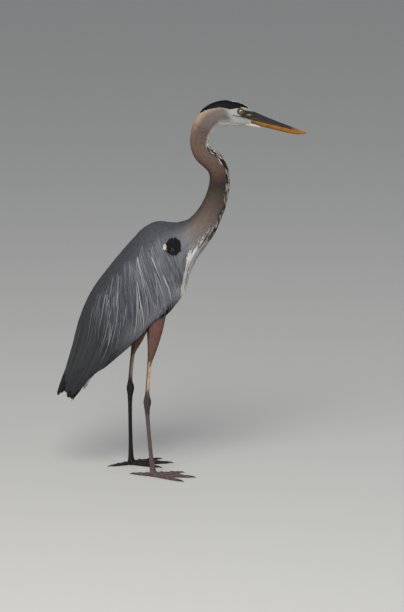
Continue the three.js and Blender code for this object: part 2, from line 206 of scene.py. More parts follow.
def trace(line, nodes, spacing, columns, blur_along, blur_round, left_out=None):
    """The outer surface of CAD nodes round a line, as a form that feathers can be laid on.

    The line's points are x, y, z and reach in metres. A form has places at s metres along the
    line and phi radians round it: 0 on the back or upper side, positive on the bird's right.
    """
    corners, faces, owner = [], [], []
    for number, node in enumerate(nodes):
        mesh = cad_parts[node].data
        faces += [[len(corners) + i for i in p.vertices] for p in mesh.polygons]
        corners += [v.co.copy() for v in mesh.vertices]
        owner += [number] * len(mesh.polygons)
    tree = BVHTree.FromPolygons(corners, faces)
    at, places = smooth_line(line, spacing)
    middle, reach = places[:, :3], places[:, 3]
    out = directions(at, middle, columns)
    radius = np.full(out.shape[:2], np.nan)
    node_at = np.full(out.shape[:2], -1)
    for i in range(len(at)):
        for k in range(columns):
            way = Vector(out[i, k])
            hit = tree.ray_cast(Vector(middle[i]) + way * reach[i], -way, reach[i])
            if hit[0] is not None:
                radius[i, k] = reach[i] - hit[3]
                node_at[i, k] = owner[hit[2]]
    typical = np.nanmedian(np.stack([np.roll(radius, r, axis=0) for r in (-3, -2, -1, 0, 1, 2, 3)]), axis=0)
    typical[:3], typical[-3:] = radius[:3], radius[-3:]
    radius = np.where(np.abs(radius - typical) > 1.5 * MM, typical, radius)
    weight = np.isfinite(radius).astype(float)
    if left_out is not None:
        hits = middle[:, None] + out * np.nan_to_num(radius)[..., None]
        weight[left_out(hits)] = 0
    radius = np.where(weight > 0, radius, 0)
    cells = blur_along / np.gradient(at)
    top = blurred_rows(blurred(radius * weight, blur_round / TURN * columns, 1, True), cells)
    low = blurred_rows(blurred(weight, blur_round / TURN * columns, 1, True), cells)
    radius = top / np.maximum(low, 1e-9)
    return shaped(at, middle, out, radius, node_at)


def blurred_rows(grid, cells):
    """A grid made smooth down its rows, over a number of rows that may change down it."""
    fine, coarse = blurred(grid, cells.max(), 0, False), blurred(grid, cells.min(), 0, False)
    share = ((cells - cells.min()) / max(np.ptp(cells), 1e-9))[:, None]
    return fine * share + coarse * (1 - share)


def shaped(at, middle, out, radius, node_at):
    """The form that a line, directions round it and radii make."""
    points = middle[:, None] + out * radius[..., None]
    d_along = np.gradient(points, at, axis=0)
    d_round = (np.roll(points, -1, axis=1) - np.roll(points, 1, axis=1)) / (2 * TURN / points.shape[1])
    normals = unit(np.cross(d_along, d_round))
    table = np.concatenate([points, normals, d_along, d_round], axis=2)
    return {"at": at, "middle": middle, "out": out, "radius": radius, "table": table, "node_at": node_at}


def oval_form(stations, spacing, columns):
    """A form of oval sections. Each station is x, y, z, depth above, depth below and half width."""
    at, places = smooth_line(stations, spacing)
    turn = angles_round(columns)
    tall = np.where(np.cos(turn) > 0, places[:, 3:4], places[:, 4:5])
    radius = 1 / np.sqrt((np.cos(turn) / tall) ** 2 + (np.sin(turn) / places[:, 5:6]) ** 2)
    out = directions(at, places[:, :3], columns)
    return shaped(at, places[:, :3], out, radius, np.full(radius.shape, -1))


def on_form(form, s, phi):
    """Points, outward normals, and steps along and round a form, at arrays of s and phi."""
    at, table = form["at"], form["table"]
    inside = np.clip(s, at[0], at[-1])
    row = np.interp(inside, at, np.arange(len(at)))
    low_row = np.minimum(row.astype(int), len(at) - 2)
    down = (row - low_row)[..., None]
    columns = table.shape[1]
    column = (phi / TURN * columns) % columns
    low_column = column.astype(int) % columns
    next_column = (low_column + 1) % columns
    across = (column - np.floor(column))[..., None]
    above, below = ((1 - across) * table[here, low_column] + across * table[here, next_column]
                    for here in (low_row, low_row + 1))
    value = (1 - down) * above + down * below
    points, normals, d_along, d_round = np.split(value, 4, axis=-1)
    points = points + (s - inside)[..., None] * unit(d_along)
    return points, unit(normals), d_along, d_round


EYE_AT = np.array(in_frame(245.5, 12, 908))  # the left eye's middle
EYE_RADIUS = 7  # mm
EYE_BAND = 4 * MM  # off the midline, so that the crown and the chin don't count as near an eye
WINGS_PART_AT = -0.17  # behind this the two wings part along the midline


def from_eye(points):
    """Distance in mm from the middle of the nearer eye, seen from the side."""
    return np.hypot(points[..., 0] - EYE_AT[0], points[..., 2] - EYE_AT[2]) / MM


def not_flesh(hits):
    """True where a ray fell into an eye's room or between the wings, so that the form spans it."""
    off_middle = np.abs(hits[..., 1])
    between_wings = (off_middle < 2 * MM) & (hits[..., 0] < WINGS_PART_AT)
    return (from_eye(hits) < 8.5) & (off_middle > 5 * MM) | between_wings


body = trace(
    [in_frame(x, 0, z, reach) for x, z, reach in BODY_LINE], BODY_NODES,
    lambda s: HEAD_STEP if s < HEAD_LENGTH else BODY_STEP, BODY_COLUMNS,
    blur_along=5 * MM, blur_round=math.radians(5), left_out=not_flesh,
)
# Towards the bill the face narrows until its skin meets the horn.
taper = np.interp(body["at"], *zip(*FACE_TAPER))[:, None] * MM
taper = taper * (0.78 + 0.22 * np.cos(angles_round(BODY_COLUMNS)))[None]
body = shaped(body["at"], body["middle"], body["out"], body["radius"] - taper, body["node_at"])


def ring_quads(here, after):
    """Quads between rings of corner numbers and the rings after them."""
    return np.stack([here, after, np.roll(after, -1, 1), np.roll(here, -1, 1)], -1).reshape(-1, 4)


def between(rows, places):
    """Rows of points at places that may lie between whole row numbers."""
    low = np.minimum(places.astype(int), len(rows) - 2)
    part = (places - low)[:, None, None]
    return rows[low] * (1 - part) + rows[low + 1] * part


def closed_net(points, **values):
    """Rows of points round a line as a closed net, with a corner in the middle of each end.
    `values` are three more numbers at each point, such as its tint."""
    rows, columns = points.shape[:2]
    ring = np.arange(rows * columns).reshape(rows, columns)
    first, last = rows * columns, rows * columns + 1
    front = np.stack([np.full(columns, first), ring[0], np.roll(ring[0], -1)], -1)
    back = np.stack([np.full(columns, last), np.roll(ring[-1], -1), ring[-1]], -1)
    at_corners = {key: np.vstack([grid.reshape(-1, 3), grid[0].mean(0), grid[-1].mean(0)])
                  for key, grid in {"corners": points, **values}.items()}
    return {"quads": ring_quads(ring[:-1], ring[1:]), "triangles": np.vstack([front, back]), **at_corners}


def joined(batches):
    """Batches of corners, quads, triangles and values at the corners, as one."""
    offsets = np.cumsum([0] + [len(batch["corners"]) for batch in batches])
    whole = {key: np.concatenate([batch[key] for batch in batches]) for key in batches[0]}
    for key in ("quads", "triangles"):
        whole[key] = np.concatenate([batch[key] + offset for batch, offset in zip(batches, offsets)])
    return whole


def make_piece(name, material, batches):
    """Batches as one mesh object with a material."""
    piece = bpy.data.objects.new(name, make_mesh(name, **joined(batches)))
    piece.data.materials.append(material)
    bpy.context.scene.collection.objects.link(piece)
    return piece


def make_mesh(name, corners, quads, triangles, tint=None, vane=None, patch=None, rim=None):
    """A mesh of quads and triangles with its colour, vane and patch values at each corner."""
    mesh = bpy.data.meshes.new(name)
    mesh.vertices.add(len(corners))
    mesh.vertices.foreach_set("co", np.asarray(corners, np.float32).ravel())
    loops = np.concatenate([quads.ravel(), triangles.ravel()]).astype(np.int32)
    mesh.loops.add(len(loops))
    mesh.loops.foreach_set("vertex_index", loops)
    starts = np.concatenate([np.arange(len(quads)) * 4, len(quads) * 4 + np.arange(len(triangles)) * 3])
    mesh.polygons.add(len(starts))
    mesh.polygons.foreach_set("loop_start", starts.astype(np.int32))
    mesh.update(calc_edges=True)
    mesh.polygons.foreach_set("use_smooth", np.ones(len(starts), bool))
    if tint is not None:
        set_tint(mesh, tint)
    if vane is not None:
        set_vectors(mesh, "vane", vane)
    if patch is not None:
        mesh.uv_layers.new(name="OFBake").data.foreach_set("uv", patch[loops].astype(np.float32).ravel())
    if rim is not None:
        ends = np.zeros(len(mesh.edges) * 2, np.int32)
        mesh.edges.foreach_get("vertices", ends)
        sharp = rim[ends[0::2]] & rim[ends[1::2]]
        mesh.attributes.new("sharp_edge", "BOOLEAN", "EDGE").data.foreach_set("value", sharp)
    return mesh


def set_tint(mesh, tint):
    """A colour at each corner."""
    colours = np.hstack([tint, np.ones((len(tint), 1))]).astype(np.float32)
    mesh.attributes.new("tint", "FLOAT_COLOR", "POINT").data.foreach_set("color", colours.ravel())


def set_vectors(mesh, label, values):
    """Three numbers at each corner."""
    values = np.asarray(values, np.float32).ravel()
    mesh.attributes.new(label, "FLOAT_VECTOR", "POINT").data.foreach_set("vector", values)

# ------------------------------------------------------------------ markings, with painted light and shade
# One set of markings colours both the skin and the feathers over it: black and white on the head,
# mauve-brown down the neck with a streaked white front, slate on back and wings, black on the
# belly and the shoulder, chestnut on the thighs. It also holds painted highlight and painted shade:
# on the nape and the neck's bend, and at the front and the lower edge of the wings. A place's
# colour depends on where it lies.
NEAR_BLACK = srgb(27, 28, 32)
SOFT_WHITE = srgb(205, 203, 196)
CHESTNUT = srgb(108, 80, 71)


def fade(low, high, value):
    """0 below low, 1 above high, and smooth between them."""
    t = np.clip((value - low) / (high - low), 0, 1)
    return t * t * (3 - 2 * t)


def mix(under, over, share):
    """A colour laid over another by a share of 0 to 1."""
    return under + (over - under) * np.asarray(share)[..., None]


def ramp(value, stops):
    """A colour that runs through stops of (value, colour)."""
    at = [stop[0] for stop in stops]
    return np.stack([np.interp(value, at, [stop[1][k] for stop in stops]) for k in range(3)], axis=-1)


# Down the side of the neck. The dark step at s 0.28 is painted shade on the neck's bend, over its own brown.
NECK_SIDE_WITH_PAINTED_SHADE = [
    (0.07, srgb(118, 111, 108)), (0.10, srgb(118, 105, 101)), (0.14, srgb(103, 89, 82)),
    (0.18, srgb(108, 90, 80)), (0.23, srgb(100, 82, 72)), (0.28, srgb(54, 46, 42)),
    (0.34, srgb(94, 81, 74)), (0.39, srgb(116, 103, 97)), (0.44, srgb(128, 120, 119)),
    (0.49, srgb(112, 111, 115)),
]
# Down the back of the neck. The buff at its top is partly painted highlight, and the dark from s 0.26 to 0.34
# is painted shade on the bend; both lie over its own rufous-brown.
NAPE_WITH_PAINTED_LIGHT_AND_SHADE = [
    (0.085, srgb(186, 166, 142)), (0.115, srgb(174, 150, 130)), (0.15, srgb(134, 105, 89)),
    (0.20, srgb(104, 78, 64)), (0.26, srgb(70, 57, 50)), (0.34, srgb(78, 66, 60)),
    (0.42, srgb(92, 84, 82)), (0.46, srgb(84, 84, 88)),
]
# Down the wing. The light slate at s 0.44 and 0.52 is partly painted light, where the shoulder turns from the
# lamp.
WING_SIDE = [
    (0.44, srgb(120, 121, 126)), (0.52, srgb(109, 110, 116)), (0.60, srgb(94, 95, 100)),
    (0.68, srgb(80, 81, 85)), (0.76, srgb(60, 61, 63)), (0.88, srgb(48, 49, 51)),
]
CROWN_EDGE = [(145, 897), (155, 909), (167, 915), (184, 918), (203, 919.5), (216, 917), (226, 913.5),
              (238, 915), (252, 917), (266, 912)]  # x and z of the lower edge of the black stripe
FOREHEAD = 4.2  # mm from the midline to each black stripe, where the crown is pale
LORE_SPOT = (266, 898.5)  # x and z of the yellow spot on the dark lores


def side_view(points):
    """x and z of the body's own drawing and the distance from the midline, in mm."""
    return points[..., 0] / MM + BODY_SHIFT, points[..., 2] / MM, np.abs(points[..., 1]) / MM


def round_from_back(phi):
    """How far round from the back or upper side phi is, on either side."""
    return np.abs((phi + math.pi) % TURN - math.pi)


def gape_line(x):
    """The height of the line between the halves of the bill and on under the eye, in mm."""
    return np.interp(x, [226, 240, 256, 274, 300], [899.5, 896.2, 892.0, 886.4, 878.4])


def on_lores(points):
    """1 on the bare skin between the eye and the bill, 0 on the feathers round it."""
    x, z, _ = side_view(points)
    top = np.interp(x, [240, 252, 262, 275], [914, 912, 909, 906])
    low = np.interp(x, [240, 256, 275], [897.5, 893.0, 887])
    return fade(243, 248, x) * fade(top + 0.8, top - 0.8, z) * fade(low - 0.8, low + 0.8, z)


def crown_marks(points):
    """The shares of the black stripe over each eye and of the pale crown between the stripes."""
    x, z, y = side_view(points)
    crown = fade(-0.8, 0.8, z - np.interp(x, *zip(*CROWN_EDGE))) * fade(154, 162, x) * fade(269, 264, x)
    pale = fade(FOREHEAD + 0.6, FOREHEAD - 0.6, y) * fade(216, 228, x)
    return crown * (1 - pale), crown * pale


def plumage(s, phi, points):
    """The colour of skin and feathers at places on the body."""
    x, z, _ = side_view(points)
    round_by = round_from_back(phi)
    back, front = fade(1.1, 0.25, round_by), fade(2.35, 2.8, round_by)
    # Head and neck.
    # The neck's colours carry painted highlight on the upper nape and painted shade on its bend.
    colour = mix(ramp(s, NECK_SIDE_WITH_PAINTED_SHADE), ramp(s, NAPE_WITH_PAINTED_LIGHT_AND_SHADE), back)
    face = mix(colour, srgb(172, 174, 172), fade(211, 227, x + 0.5 * (z - 905)))
    face = mix(face, SOFT_WHITE, 0.8 * fade(893, 878, z) * fade(185, 210, x))
    jaw_shade = np.exp(-((z - (881 - 0.16 * (x - 225))) / 2.0) ** 2) * fade(200, 212, x)
    face = mix(face, srgb(120, 116, 112), 0.6 * jaw_shade)
    mouth = np.exp(-((z - gape_line(x)) / 1.5) ** 2) * fade(225, 233, x)
    face = mix(face, srgb(40, 36, 34), mouth)
    lore_spot = np.exp(-((x - LORE_SPOT[0]) / 5.0) ** 2 - ((z - LORE_SPOT[1]) / 1.9) ** 2)
    lore_skin = mix(np.broadcast_to(srgb(21, 19, 18), face.shape), srgb(158, 150, 52), lore_spot)
    face = mix(face, lore_skin, on_lores(points))
    colour = mix(colour, face, fade(0.1, 0.085, s))
    colour = mix(colour, SOFT_WHITE, front * fade(0.19, 0.175, s) * 0.9)
    colour = mix(colour, srgb(84, 78, 76), front * fade(0.175, 0.19, s) * fade(0.47, 0.42, s) * 0.8)
    stripe, pale_top = crown_marks(points)
    colour = mix(mix(colour, NEAR_BLACK, stripe), SOFT_WHITE, pale_top)
    # Body and wings.
    # Lighter towards the wing's lower edge: painted light against the shade that falls there.
    slate = mix(ramp(s, WING_SIDE), srgb(120, 121, 126), fade(1.5, 2.3, round_by) * fade(0.78, 0.66, s))
    slate = mix(slate, srgb(60, 61, 66), fade(1.35, 0.35, round_by) * 0.85)
    body_share = fade(0.405, 0.47, s + 0.03 * fade(1.6, 0.4, round_by))
    colour = mix(colour, slate, body_share)
    chest = fade(2.3, 2.8, round_by) * fade(0.43, 0.49, s) * fade(0.56, 0.52, s)
    colour = mix(colour, srgb(190, 188, 186), chest)
    belly = fade(2.45, 2.6, round_by) * fade(0.55, 0.60, s)
    dark_belly = mix(np.broadcast_to(NEAR_BLACK, colour.shape), CHESTNUT, fade(0.60, 0.56, s) * 0.6)
    colour = mix(colour, dark_belly, belly)
    return mix(colour, srgb(176, 174, 171), belly * fade(0.74, 0.78, s))

# ------------------------------------------------------------------ feathers
# A feather is a thin closed vane: its shaft runs along the middle as a low ridge, its root sinks
# into the coat and its tip lies over the next rows. Vanes are laid by walking from each root
# over the form in the direction that the coat takes there.
SMALL_VANE = [(0, 0.6), (0.38, 1.0), (0.78, 0.8)]
BODY_VANE = [(0, 0.5), (0.25, 0.9), (0.55, 1.0), (0.84, 0.72)]
PLUME_VANE = [(0, 0.5), (0.15, 0.9), (0.4, 1.0), (0.65, 0.8), (0.86, 0.45)]
NARROW = (-1, 0, 1)
PATCH_SIZE = 0.003  # share of the map that one vane takes up
FLAT_BULK = 0.02  # a vane with less than this share of the middle bulk is left out
ROOT_STEPS = 360  # steps round a form in which its girth is measured


def rows_of_roots(form, s_range, along, across, rng, keep=None, phi_range=(0, math.pi)):
    """Roots in staggered rows over a form: their s and phi. Spacings are metres or functions of s."""
    spacing = (lambda value: value if callable(value) else (lambda s: value))
    along, across = spacing(along), spacing(across)
    found = []
    s, odd = s_range[0], False
    while s < s_range[1]:
        turn = np.linspace(-math.pi, math.pi, ROOT_STEPS + 1)
        _, _, d_along, d_round = on_form(form, np.full(len(turn), s), turn)
        rate = np.linalg.norm(d_along, axis=-1)
        arc = np.concatenate([[0], np.cumsum(np.linalg.norm(d_round, axis=-1)[1:] * TURN / ROOT_STEPS)])
        count = max(int(arc[-1] / across(s)), 3)
        places = (np.arange(count) + 0.5 * odd + rng.uniform(-0.3, 0.3, count)) / count * arc[-1]
        phi = np.interp(places % arc[-1], arc, turn)
        densest = np.percentile(rate, 90)
        stays = rng.uniform(size=count) < np.interp(phi, turn, rate) / densest
        inside = (np.abs(phi) >= phi_range[0]) & (np.abs(phi) <= phi_range[1])
        step = along(s) / densest
        jitter = rng.uniform(-0.35, 0.35, count) * step
        found.append(np.stack([s + jitter, phi], axis=1)[stays & inside])
        s, odd = s + step, not odd
    roots = np.vstack(found)
    if keep is not None:
        roots = roots[keep(roots[:, 0], roots[:, 1])]
    return roots[:, 0], roots[:, 1]


def thinned(s, phi, start, end, share, rng):
    """Roots that grow fewer from start on, until a share of them is missing at the end."""
    stays = rng.uniform(size=len(s)) > fade(start, end, s) * share
    return s[stays], phi[stays]


def ridge(crown, width, broad, u):
    """How high a vane's arch rises at u across it, where it has a share `broad` of its width."""
    return crown * width * broad * (1 - abs(u) ** 1.5)


def lay(form, s, phi, length, width, rng, outline, *, sunk, lift, twist, lean=None, crown=0.16,
        section=NARROW, tint=None, mottle=0.07, span=None, limit=None, rise=1.5, tip_tone=1.0):
    """Vanes from roots on a form. They start `sunk` under it and end `lift` over it. `lean` gives
    the angle from down the form towards the belly, `limit` how far round from the back a vane may
    reach at s, `rise` how soon a vane comes out of the coat, and `tip_tone` how light its tip is."""
    count = len(s)
    length, width = (np.broadcast_to(np.asarray(v, float), count) for v in (length, width))
    length = length * rng.uniform(0.88, 1.12, count)
    width = width * rng.uniform(0.9, 1.1, count)
    lift = lift * rng.uniform(0.6, 1.4, count)
    twist = rng.normal(0, twist, count)
    belly_side = np.where(phi >= 0, 1.0, -1.0)
    here_s, here_phi, done = s.astype(float), phi.astype(float), 0.0
    strips = []
    for share, broad in outline + [(1.0, 0.0)]:
        _, _, d_along, d_round = on_form(form, here_s, here_phi)
        rate, rate_round = np.linalg.norm(d_along, axis=1), np.maximum(np.linalg.norm(d_round, axis=1), MM)
        angle = twist + (lean(here_s, here_phi) if lean else 0)
        step = (share - done) * length
        here_s = here_s + np.cos(angle) * step / rate
        here_phi = here_phi + belly_side * np.sin(angle) * step / rate_round
        done = share
        height = -sunk * (1 - share) ** rise + lift * share ** (1.5 / rise)
        for u in section if broad else (0,):
            off = u * width / 2 * broad
            at_s = here_s - belly_side * np.sin(angle) * off / rate
            at_phi = here_phi + np.cos(angle) * off / rate_round
            if limit is not None:
                at_phi = np.sign(at_phi) * np.minimum(np.abs(at_phi), limit(at_s))
            point, normal, _, _ = on_form(form, at_s, at_phi)
            strips.append(point + normal * (height + ridge(crown, width, broad, u))[:, None])
    points = np.stack(strips, axis=1)
    root_points, *_ = on_form(form, s, phi)
    colour = plumage(s, phi, root_points) if tint is None else tint(s, phi, root_points)
    colour = colour * rng.uniform(1 - mottle, 1 + mottle, (count, 1))
    low, high = span or (form["at"][0], form["at"][-1])
    root_place = np.stack([(phi / TURN) % 1, (s - low) / (high - low)], axis=1)
    return vane_batch(points, section, colour, rng.uniform(size=count), root_place, outline, tip_tone)


def vane_batch(points, section, colour, chance, root_place, outline, tip_tone):
    """Points of vanes, section by section and then the tip, with all their values and faces.
    A vane that a fold of the form would turn inside out is left out."""
    wide, rows = len(section), len(outline)
    u = np.append(np.tile(section, rows), 0.0)
    v = np.append(np.repeat([share for share, _ in outline], wide), 1.0)
    row, column = np.meshgrid(np.arange(rows - 1), np.arange(wide - 1), indexing="ij")
    corner = (row * wide + column).ravel()
    top = np.stack([corner, corner + wide, corner + wide + 1, corner + 1], axis=1)
    left = np.arange(rows - 1) * wide
    under = np.stack([left, left + wide - 1, left + 2 * wide - 1, left + wide], axis=1)
    tip, last = rows * wide, (rows - 1) * wide
    edge = np.arange(wide - 1)
    tip_top = np.stack([last + edge, np.full(wide - 1, tip), last + edge + 1], axis=1)
    root_cap = np.stack([np.zeros(wide - 2, int), edge[1:], edge[1:] + 1], axis=1)
    triangles = np.vstack([tip_top, [[last, last + wide - 1, tip]], root_cap])
    quads = np.vstack([top, under])
    faces = np.vstack([quads[:, :3], quads[:, [0, 2, 3]], triangles])
    first, second, third = ((points - points[:, :1])[:, faces[:, k]] for k in range(3))
    bulk = (first * np.cross(second, third)).sum((1, 2))
    sound = bulk > FLAT_BULK * np.median(bulk)
    points, colour, chance, root_place = points[sound], colour[sound], chance[sound], root_place[sound]
    count = len(points)
    values = np.stack(np.broadcast_arrays(u[None], v[None], chance[:, None]), axis=-1)
    patch = root_place[:, None] + np.stack([u / 2, v - 0.5], axis=1)[None] * PATCH_SIZE
    offset = np.arange(count)[:, None, None] * (tip + 1)
    rim = np.append(np.tile(np.abs(section) == 1, rows), True)
    return {
        "corners": points.reshape(-1, 3),
        "quads": (quads[None] + offset).reshape(-1, 4),
        "triangles": (triangles[None] + offset).reshape(-1, 3),
        "tint": (colour[:, None] * (1 + (tip_tone - 1) * v[None, :, None] ** 1.5)).reshape(-1, 3),
        "vane": values.reshape(-1, 3),
        "patch": patch.reshape(-1, 2),
        "rim": np.tile(rim, count),
    }


def adder(tree):
    """A short way to add nodes to a tree: it takes a node's kind, values or sockets for its inputs
    and its settings, and returns its outputs."""
    def add(kind, inputs=(), **settings):
        node = tree.nodes.new(kind)
        for key, value in settings.items():
            setattr(node, key, value)
        for socket, value in dict(inputs).items():
            if isinstance(value, bpy.types.NodeSocket):
                tree.links.new(value, node.inputs[socket])
            else:
                node.inputs[socket].default_value = value
        return node.outputs

    return add


def maths(add, operation, *values):
    """The result of an operation on sockets and numbers."""
    return add("ShaderNodeMath", dict(enumerate(values)), operation=operation)[0]


def ranged(add, value, low, high, to_low, to_high):
    """A value that runs from low to high, made to run between two other numbers."""
    return add("ShaderNodeMapRange", {"Value": value, "From Min": low, "From Max": high,
                                      "To Min": to_low, "To Max": to_high})[0]


def noise(add, place, scale, detail):
    """Soft spots at a place."""
    return add("ShaderNodeTexNoise", {"Vector": place, "Scale": scale, "Detail": detail})[0]


def tinted_material(name, roughness, pattern, bump, relief, specular=0.5):
    """A material that takes its colour from the tint at each corner. `pattern` adds its nodes and
    returns a tone for the tint and a height for its relief, which is `relief` metres deep."""
    material, shader = plain_material(name, (0.5, 0.5, 0.5), roughness)
    add = adder(material.node_tree)
    tone, height = pattern(add)
    tint = add("ShaderNodeAttribute", attribute_name="tint")["Color"]
    colour = add("ShaderNodeVectorMath", {0: tint, "Scale": tone}, operation="SCALE")[0]
    normal = add("ShaderNodeBump", {"Height": height, "Strength": bump, "Distance": relief})[0]
    material.node_tree.links.new(colour, shader.inputs["Base Color"])
    material.node_tree.links.new(normal, shader.inputs["Normal"])
    shader.inputs["Specular IOR Level"].default_value = specular
    return material


def feather_material(name, barbs, edge_tone, roughness=0.62, bump=0.25, shaft=0.75):
    """Vanes with fine slanting barbs, a shaft and paler or darker edges."""
    def pattern(add):
        vane = add("ShaderNodeAttribute", attribute_name="vane")["Vector"]
        u, v, chance = add("ShaderNodeSeparateXYZ", {"Vector": vane})
        off_shaft = maths(add, "ABSOLUTE", u)
        slant = maths(add, "MULTIPLY_ADD", off_shaft, -0.35, v)
        barb = maths(add, "SINE", maths(add, "MULTIPLY_ADD", slant, barbs * TURN, chance))
        edge = ranged(add, off_shaft, 0.45, 1.0, 1.0, edge_tone)
        core = ranged(add, off_shaft, 0.0, 0.14, shaft, 1.0)
        tone = maths(add, "MULTIPLY", maths(add, "MULTIPLY_ADD", barb, 0.07, 1.0), edge)
        return maths(add, "MULTIPLY", tone, core), barb

    return tinted_material(name, roughness, pattern, bump, 0.2 * MM, 0.12)

# ------------------------------------------------------------------ skin of the feathered parts
# The skin lies under the feathers from the bill's root to the tail's root, and round each thigh.
# It is bare on the lores, where it is folded, and it sinks into a socket round each eye.
THIGH_LINES = {  # down the middle of each thigh: x, y away from the midline, z, reach
    "right": [(41, 26, 412, 36), (37, 32, 373, 30), (34.5, 36, 350, 25), (31, 39, 325, 19),
              (27, 41, 303, 13), (24.5, 42.4, 289, 11), (22.3, 43.6, 270, 10)],
    "left": [(14, 26, 405, 36), (5, 32, 367, 30), (-2, 36, 344, 25), (-9, 39, 321, 19),
             (-15, 41, 303, 13), (-17.8, 42.4, 292, 11), (-20.6, 43.8, 273, 10)],
}
# The feathered chin reaches forward between the halves of the lower bill.
CHIN = [(299, 864.5, 0.8, 0.8, 0.8), (288, 868.5, 3, 3.6, 5), (273, 872.5, 4, 6, 8), (254, 878, 5, 8, 9)]
SKIN_END = 0.845  # metres down the body, at the tail's root
SOCKET_DEPTH = 5 * MM
DEPTHS = ([0, 0.008, 0.03, 0.10, 0.16, 0.42, 0.50, 0.8, 0.84],  # s, and mm under the coat's surface
          [2.4, 1.1, 0.9, 1.1, 2.2, 3.2, 5, 5, 4])
SKIN_SHADE, DOWN_SHADE = 0.85, 0.7  # how light the skin is beside the feathers over it


def limb_line(side, points):
    """Points of a limb as points of the frame, in metres, with their reach."""
    return [in_frame(x, SIDES[side] * y, z, reach) for x, y, z, reach in points]


thighs = {
    side: trace(limb_line(side, THIGH_LINES[side]), [f"thigh_{side}", f"shank_{side}"], 2 * MM, 48,
                blur_along=5 * MM, blur_round=0.25)
    for side in SIDES
}
chin = oval_form([in_frame(x, 0, z, *sizes) for x, z, *sizes in CHIN], MM, 32)


def coat_depth(s, points):
    """How deep the skin lies under the coat's surface."""
    depth = sized(s, *DEPTHS)
    x, z, _ = side_view(points)
    lores = on_lores(points)
    folds = np.sin((z - gape_line(x)) * 1.9 + 0.6 * np.sin(x * 0.35)) * 0.22 + np.sin(x * 1.1 + z * 0.7) * 0.1
    depth = depth * (1 - 0.35 * lores) + lores * folds * MM
    mouth = np.exp(-((z - gape_line(x)) / 0.9) ** 2) * fade(228, 236, x)
    depth = depth + mouth * 0.7 * MM
    return depth + SOCKET_DEPTH * fade(7.2, 5.4, from_eye(points)) * (np.abs(points[..., 1]) > EYE_BAND)


def sunk_net(form, depth, tint, shown=slice(None)):
    """A closed net under a form, `depth` metres below it, with its colours."""
    surface = form["table"][shown]
    points = surface[..., :3] - surface[..., 3:6] * np.asarray(depth)[..., None]
    return closed_net(points, tint=np.broadcast_to(tint, points.shape))


def skin_pattern(add):
    """Fine pores."""
    pores = noise(add, add("ShaderNodeTexCoord")["Object"], 900.0, 3.0)
    return ranged(add, pores, 0.0, 1.0, 0.75, 1.2), pores


shown = body["at"] < SKIN_END
s_all, phi_all = np.meshgrid(body["at"][shown], angles_round(BODY_COLUMNS), indexing="ij")
places = body["table"][shown][..., :3]
nets = [sunk_net(body, coat_depth(s_all, places), plumage(s_all, phi_all, places) * SKIN_SHADE, shown)]
nets += [sunk_net(form, 1.5 * MM, CHESTNUT * DOWN_SHADE) for form in thighs.values()]
nets += [sunk_net(chin, 0.5 * MM, SOFT_WHITE * SKIN_SHADE)]
skin = make_piece("skin", tinted_material("down_skin", 0.72, skin_pattern, 0.35, 0.4 * MM), nets)
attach(skin, "root")
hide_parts("head", "neck_upper", "neck_middle", "neck_lower", "trunk", "thigh_right", "thigh_left")

# ------------------------------------------------------------------ bill
# The two halves of the bill are horn: slate above, orange-yellow below and at the tip. A groove
# runs forwards from each slit nostril, and the halves meet in a fine dark line.
# Stations from the root to the tip: x, z of that line, depth above, depth below, half width.
BILL = [
    (262, 889.2, 21.2, 9.6, 10.2), (266, 888, 21, 10, 10.4), (285, 882.6, 19, 11, 9.2),
    (305, 877.2, 15.5, 11.4, 7.8), (330, 871.4, 11, 11.8, 6.2), (355, 865.2, 7.4, 11.8, 4.8),
    (380, 858.3, 4.8, 9.6, 3.4), (396, 854, 2.4, 5.4, 2.2), (405.5, 851.6, 0.9, 0.9, 0.9),
]
BILL_STEP = 0.8  # mm
BILL_SLIT = 0.14  # mm from the line between the halves to each of them
SQUARE_ABOVE, SQUARE_BELOW = 1.82, 1.75  # 2 for a round section, less for a keeled one
NOSTRIL = (277, 5.0, 0.45)  # x and half length in mm, height as a share of the depth
GROOVE_END = 352  # x
GROOVE_DEPTH, NOSTRIL_DEPTH = 0.13, 0.2  # shares of the half width
BILL_SLATE = srgb(37, 35, 40)
BILL_ORANGE = srgb(176, 112, 28)
_, bill_places = smooth_line([(x, 0, z, up, down, wide) for x, z, up, down, wide in BILL], BILL_STEP)
bill_x, _, bill_z, bill_up, bill_down, bill_wide = bill_places.T[:, :, None]


def nostril(height, softness):
    """1 in the slit of a nostril, 0 off it. Heights are shares of the upper half's depth."""
    along = np.exp(-(((bill_x - NOSTRIL[0]) / NOSTRIL[1]) ** 4))
    return along * np.exp(-((height - NOSTRIL[2]) / softness) ** 2)


def upper_tint(x, height):
    """Slate horn, brown along the slit and yellow at the tip."""
    tint = mix(BILL_SLATE, srgb(84, 72, 58), fade(0.30, 0.02, height) * 0.7)
    tint = mix(tint, srgb(158, 116, 58), fade(362, 386, x) * (1 - 0.35 * fade(0.5, 1, height)))
    # Near black in the nostril's slit: painted shade in its opening.
    return mix(tint, srgb(14, 12, 12), nostril(height, 0.07))


def lower_tint(x, height):
    """Orange-yellow horn, darker towards its keel by painted shade, and greyer at its root."""
    # Darker towards the keel: painted shade on the underside of the lower bill.
    tint = mix(BILL_ORANGE, srgb(140, 78, 24), fade(0.35, 0.95, height) * 0.6)
    tint = mix(tint, srgb(120, 98, 54), fade(300, 270, x) * 0.7)
    return mix(tint, srgb(168, 126, 54), fade(380, 398, x) * 0.6)


